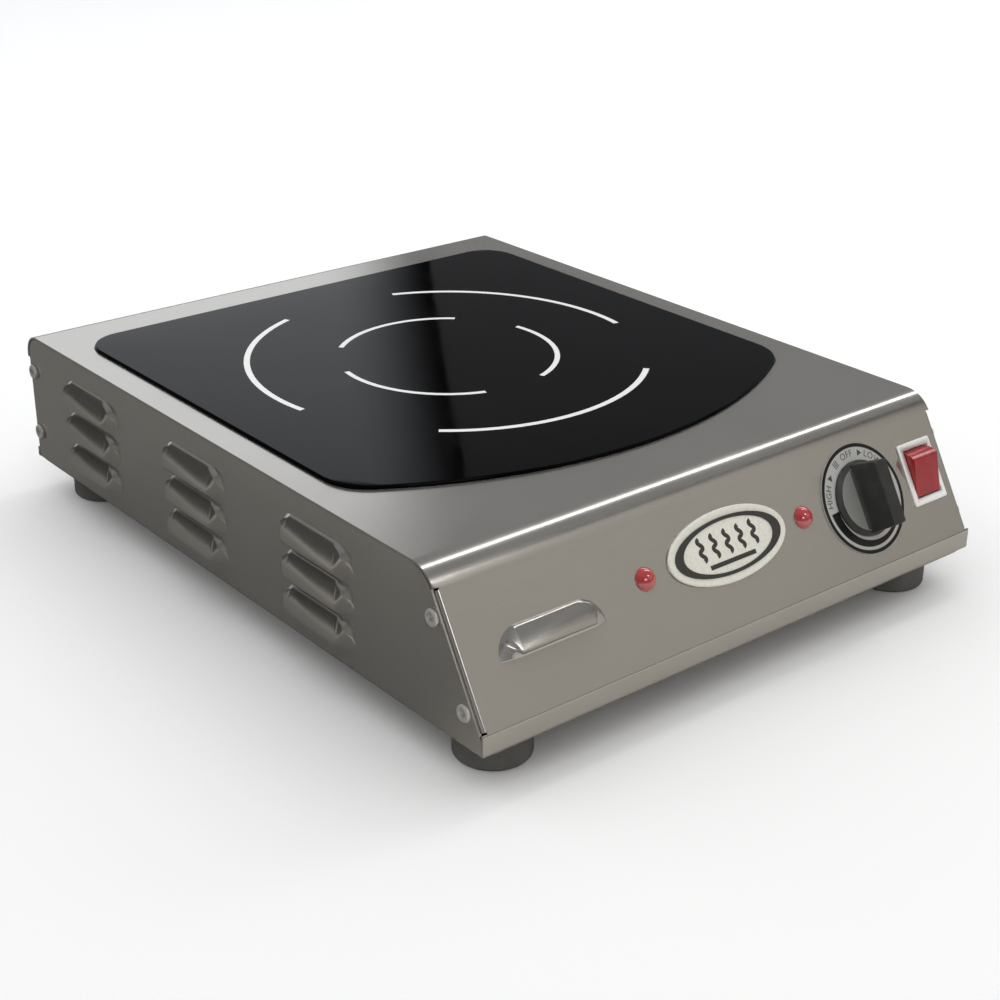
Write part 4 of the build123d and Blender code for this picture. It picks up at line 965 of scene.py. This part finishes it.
@dataclass
class Badge:
    """Oval badge with a dark ring and a plain sign, heat waves over a bar."""

    finisher: Finisher
    panel: PanelFrame
    down: float = 37.0 * MM
    face: float = 1.6 * MM
    waves: int = 5
    wave_pitch: float = 8.6 * MM
    wave_height: float = 11.0 * MM
    wave_swing: float = 4.16 * MM
    wave_lean: float = 0.14
    wave_middle: float = 1.9 * MM
    stroke: float = 1.1 * MM
    proud: float = 0.16 * MM
    bar_length: float = 30.0 * MM
    bar_width: float = 2.2 * MM
    bar_down: float = 7.4 * MM

    def wave(self, x: float) -> bpy.types.Object:
        """One upright heat wave, a flattened round stroke.

        Args:
            x: where it stands along the badge.

        Returns:
            The wave as a mesh.
        """
        Bench.clear()
        bpy.ops.curve.primitive_bezier_curve_add(location=(0.0, 0.0, 0.0))
        piece = bpy.context.object
        curve = piece.data
        spline = curve.splines[0]
        spline.bezier_points.add(1)
        for number, point in enumerate(spline.bezier_points):
            share = number / (len(spline.bezier_points) - 1)
            y = (share - 0.5) * self.wave_height + self.wave_middle
            point.co = (x, y, 0.0)
            rise = self.wave_height * self.wave_lean
            point.handle_left = (x - self.wave_swing, y - rise, 0.0)
            point.handle_right = (x + self.wave_swing, y + rise, 0.0)
        curve.bevel_depth = self.stroke
        curve.bevel_resolution = 3
        curve.resolution_u = 16
        curve.use_fill_caps = True
        bpy.ops.object.convert(target="MESH")
        piece = bpy.context.object
        piece.scale = (1.0, 1.0, self.proud / self.stroke)
        return Bench.settle(piece)

    def sign(self) -> bpy.types.Object:
        """Heat waves over a bar."""
        middle = (self.waves - 1) / 2
        parts = [self.wave((number - middle) * self.wave_pitch) for number in range(self.waves)]
        Bench.clear()
        bpy.ops.mesh.primitive_cube_add(size=1.0, location=(0.0, -self.bar_down, 0.0))
        bar = bpy.context.object
        bar.scale = (self.bar_length, self.bar_width, 2 * self.proud)
        Bench.settle(bar)
        Bench.modify(bar, "BEVEL", width=0.1 * MM, segments=2)
        parts.append(bar)
        return Bench.join("badge_sign", parts)

    def build(self) -> None:
        """Make the badge's pieces."""
        fit = self.finisher.fit
        fit(Bench.from_node("badge_plate", "badge_body", 40.0), "badge_cream", Body.HOUSING, "badge_plate")
        fit(Bench.from_node("badge_ring", "badge_band", 40.0), "badge_dark", Body.HOUSING, "badge_ring")
        sign = self.sign()
        Bench.settle(sign, self.panel.place(0.0, self.down, self.face))
        Bench.smooth(sign)
        fit(sign, "badge_dark", Body.HOUSING)


@dataclass
class Feet:
    """Four rubber feet."""

    finisher: Finisher

    def build(self) -> None:
        """Make the feet."""
        for corner in ("front_left", "front_right", "rear_left", "rear_right"):
            foot = Bench.from_node(f"foot_{corner}", f"rubber_foot_{corner}", 35.0)
            self.finisher.fit(foot, "foot_rubber", Body.HOUSING, f"foot_{corner}")


# ---------------------------------------------------------------- studio
@dataclass(frozen=True)
class SoftBox:
    """A rectangular studio light aimed at the hob, its width level unless a line is given for it."""

    name: str
    position: Colour
    width: float
    height: float
    radiance: float
    tint: Colour = (1.0, 1.0, 1.0)
    across: Colour = (0.0, 0.0, 0.0)

    def aim(self) -> Matrix:
        """Place and turn that face the light to the hob."""
        spot = Vector(self.position)
        back = (spot - Vector((0.0, 0.0, 0.05))).normalized()
        line = Vector(self.across) if any(self.across) else Vector((0.0, 0.0, 1.0)).cross(back)
        side = (line - back * line.dot(back)).normalized()
        axes = Matrix((side, back.cross(side), back)).transposed().to_4x4()
        return Matrix.Translation(spot) @ axes

    def build(self) -> None:
        """Make the light."""
        data = bpy.data.lights.new(self.name, "AREA")
        data.shape = "RECTANGLE"
        data.size = self.width
        data.size_y = self.height
        data.energy = self.radiance * pi * self.width * self.height
        data.color = self.tint
        light = bpy.data.objects.new(self.name, data)
        light.matrix_world = self.aim()
        light.visible_camera = False
        bpy.context.scene.collection.objects.link(light)


@dataclass(frozen=True)
class GlowCard(SoftBox):
    """A card whose glow falls off towards its edges; without radiance it is a dark flag."""

    hard: float = 0.05
    glossy_only: bool = False

    def build(self) -> None:
        """Make the card."""
        Bench.clear()
        bpy.ops.mesh.primitive_plane_add(size=2.0)
        card = bpy.context.object
        card.name = self.name
        card.matrix_world = self.aim() @ Matrix.Diagonal((self.width / 2, self.height / 2, 1.0, 1.0))
        g = Graph(f"{self.name}_glow")
        across, up, _ = g.axes(g.place())
        fade = (1.0 - (across * across).ramp(self.hard, 1.0)) * (1.0 - (up * up).ramp(0.3, 1.0))
        g.dress(
            Base_Color=(0.0, 0.0, 0.0),
            Specular_IOR_Level=0.0,
            Emission_Color=g.blend(fade, (0.0, 0.0, 0.0), self.tint),
            Emission_Strength=self.radiance,
        )
        card.data.materials.append(g.material)
        card.visible_camera = False
        card.visible_shadow = False
        card.visible_diffuse = not self.glossy_only


@dataclass
class Studio:
    """Pale floor, soft light and the camera. The floor is greyer in reflections than to the eye."""

    lens: float = 64.98
    sensor: float = 36.0
    camera_at: Vector = field(default_factory=lambda: Vector((-566.4, -714.06, 438.1)) * MM)
    back: Vector = field(default_factory=lambda: Vector((-0.5755, -0.7025, 0.4187)))
    roll: float = 0.363
    floor_radius: float = 9.0
    room_light: float = 1.2
    room_reflection: Colour = (0.21, 0.213, 0.221)
    boxes: tuple[SoftBox, ...] = (
        SoftBox("key_box", (1.3, 0.24, 1.5), 1.3, 0.2, 4.2, across=(1.0, 0.0, 0.0)),
        GlowCard("rear_card", (0.44, 2.15, 0.86), 2.05, 1.3, 1.0, (0.96, 0.99, 1.04), hard=0.62),
        GlowCard("front_card", (1.3, -1.7, 1.05), 2.8, 1.7, 0.43, (1.0, 0.96, 0.89)),
        GlowCard("left_card", (-1.9, -0.9, 1.2), 2.2, 1.6, 0.2, (1.0, 0.97, 0.92)),
        GlowCard("window_card", (0.48, -1.02, 1.14), 0.22, 0.34, 7.0, hard=0.9, glossy_only=True),
        GlowCard("dark_flag", (-1.6, 1.5, 0.45), 2.0, 1.2, 0.0, glossy_only=True),
        GlowCard("edge_card", (-0.4, -1.6, 0.82), 0.7, 0.4, 3.0, hard=0.6, glossy_only=True),
    )

    def camera(self) -> None:
        """Make the camera."""
        data = bpy.data.cameras.new("view")
        data.lens = self.lens
        data.sensor_width = self.sensor
        data.sensor_fit = "HORIZONTAL"
        data.clip_start = 0.01
        back = self.back.normalized()
        right = Vector((0.0, 0.0, 1.0)).cross(back).normalized()
        up = back.cross(right)
        turn = radians(self.roll)
        right, up = right * cos(turn) + up * sin(turn), up * cos(turn) - right * sin(turn)
        camera = bpy.data.objects.new("view", data)
        axes = Matrix((right, up, back)).transposed().to_4x4()
        camera.matrix_world = Matrix.Translation(self.camera_at) @ axes
        bpy.context.scene.collection.objects.link(camera)
        bpy.context.scene.camera = camera

    def floor(self) -> None:
        """Make the pale floor; what the steel sees of it is light in front and dark far off."""
        Bench.clear()
        bpy.ops.mesh.primitive_circle_add(vertices=96, radius=self.floor_radius, fill_type="NGON")
        floor = bpy.context.object
        floor.name = "floor"
        g = Graph("floor_paint")
        seen = g.node("ShaderNodeLightPath", {}, {}, "Is Camera Ray")
        cloud = g.noise(g.place((2.0, 2.0, 2.0)), detail=2.0)
        pale = g.blend(cloud, (0.94, 0.94, 0.94), (0.96, 0.96, 0.96))
        x, y, _ = g.axes(g.place())
        front = (0.0 - y).ramp(0.12, 0.3)
        left = (0.0 - x).ramp(0.42, 0.62)
        far = (x * x + y * y).ramp(0.7, 1.4)
        side = g.blend(left, (0.15, 0.147, 0.141), (0.42, 0.41, 0.39))
        grey = g.blend(far, g.blend(front, side, (0.64, 0.62, 0.58)), (0.012, 0.012, 0.012))
        g.dress(Base_Color=g.blend(seen, grey, pale), Roughness=0.9, Specular_IOR_Level=0.1)
        floor.data.materials.append(g.material)

    def world(self) -> None:
        """Make the even surrounding light."""
        world = bpy.data.worlds.new("room")
        world.use_nodes = True
        tree = world.node_tree
        tree.nodes.clear()
        output = tree.nodes.new("ShaderNodeOutputWorld")
        path = tree.nodes.new("ShaderNodeLightPath")
        mix = tree.nodes.new("ShaderNodeMixShader")
        soft = tree.nodes.new("ShaderNodeBackground")
        dim = tree.nodes.new("ShaderNodeBackground")
        soft.inputs["Color"].default_value = (1.0, 1.0, 1.0, 1.0)
        soft.inputs["Strength"].default_value = self.room_light
        dim.inputs["Color"].default_value = (*self.room_reflection, 1.0)
        dim.inputs["Strength"].default_value = 1.0
        tree.links.new(path.outputs["Is Glossy Ray"], mix.inputs[0])
        tree.links.new(soft.outputs[0], mix.inputs[1])
        tree.links.new(dim.outputs[0], mix.inputs[2])
        tree.links.new(mix.outputs[0], output.inputs[0])
        bpy.context.scene.world = world

    def build(self) -> None:
        """Make the studio."""
        self.camera()
        self.floor()
        self.world()
        for box in self.boxes:
            box.build()
        bpy.context.scene.view_settings.view_transform = "Standard"


def main() -> None:
    """Build the hob's looks and report each piece."""
    logging.basicConfig(level=logging.INFO, format="%(name)s: %(message)s")
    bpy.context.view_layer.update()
    Bench.clear()
    finisher = Finisher()
    panel = PanelFrame()
    finisher.dress_nodes()
    Casing(finisher, panel).build()
    CookingTop(finisher).build()
    Dial(finisher, panel).build()
    Controls(finisher, panel).build()
    Badge(finisher, panel).build()
    Feet(finisher).build()
    Studio().build()


if __name__ == "__main__":
    main()
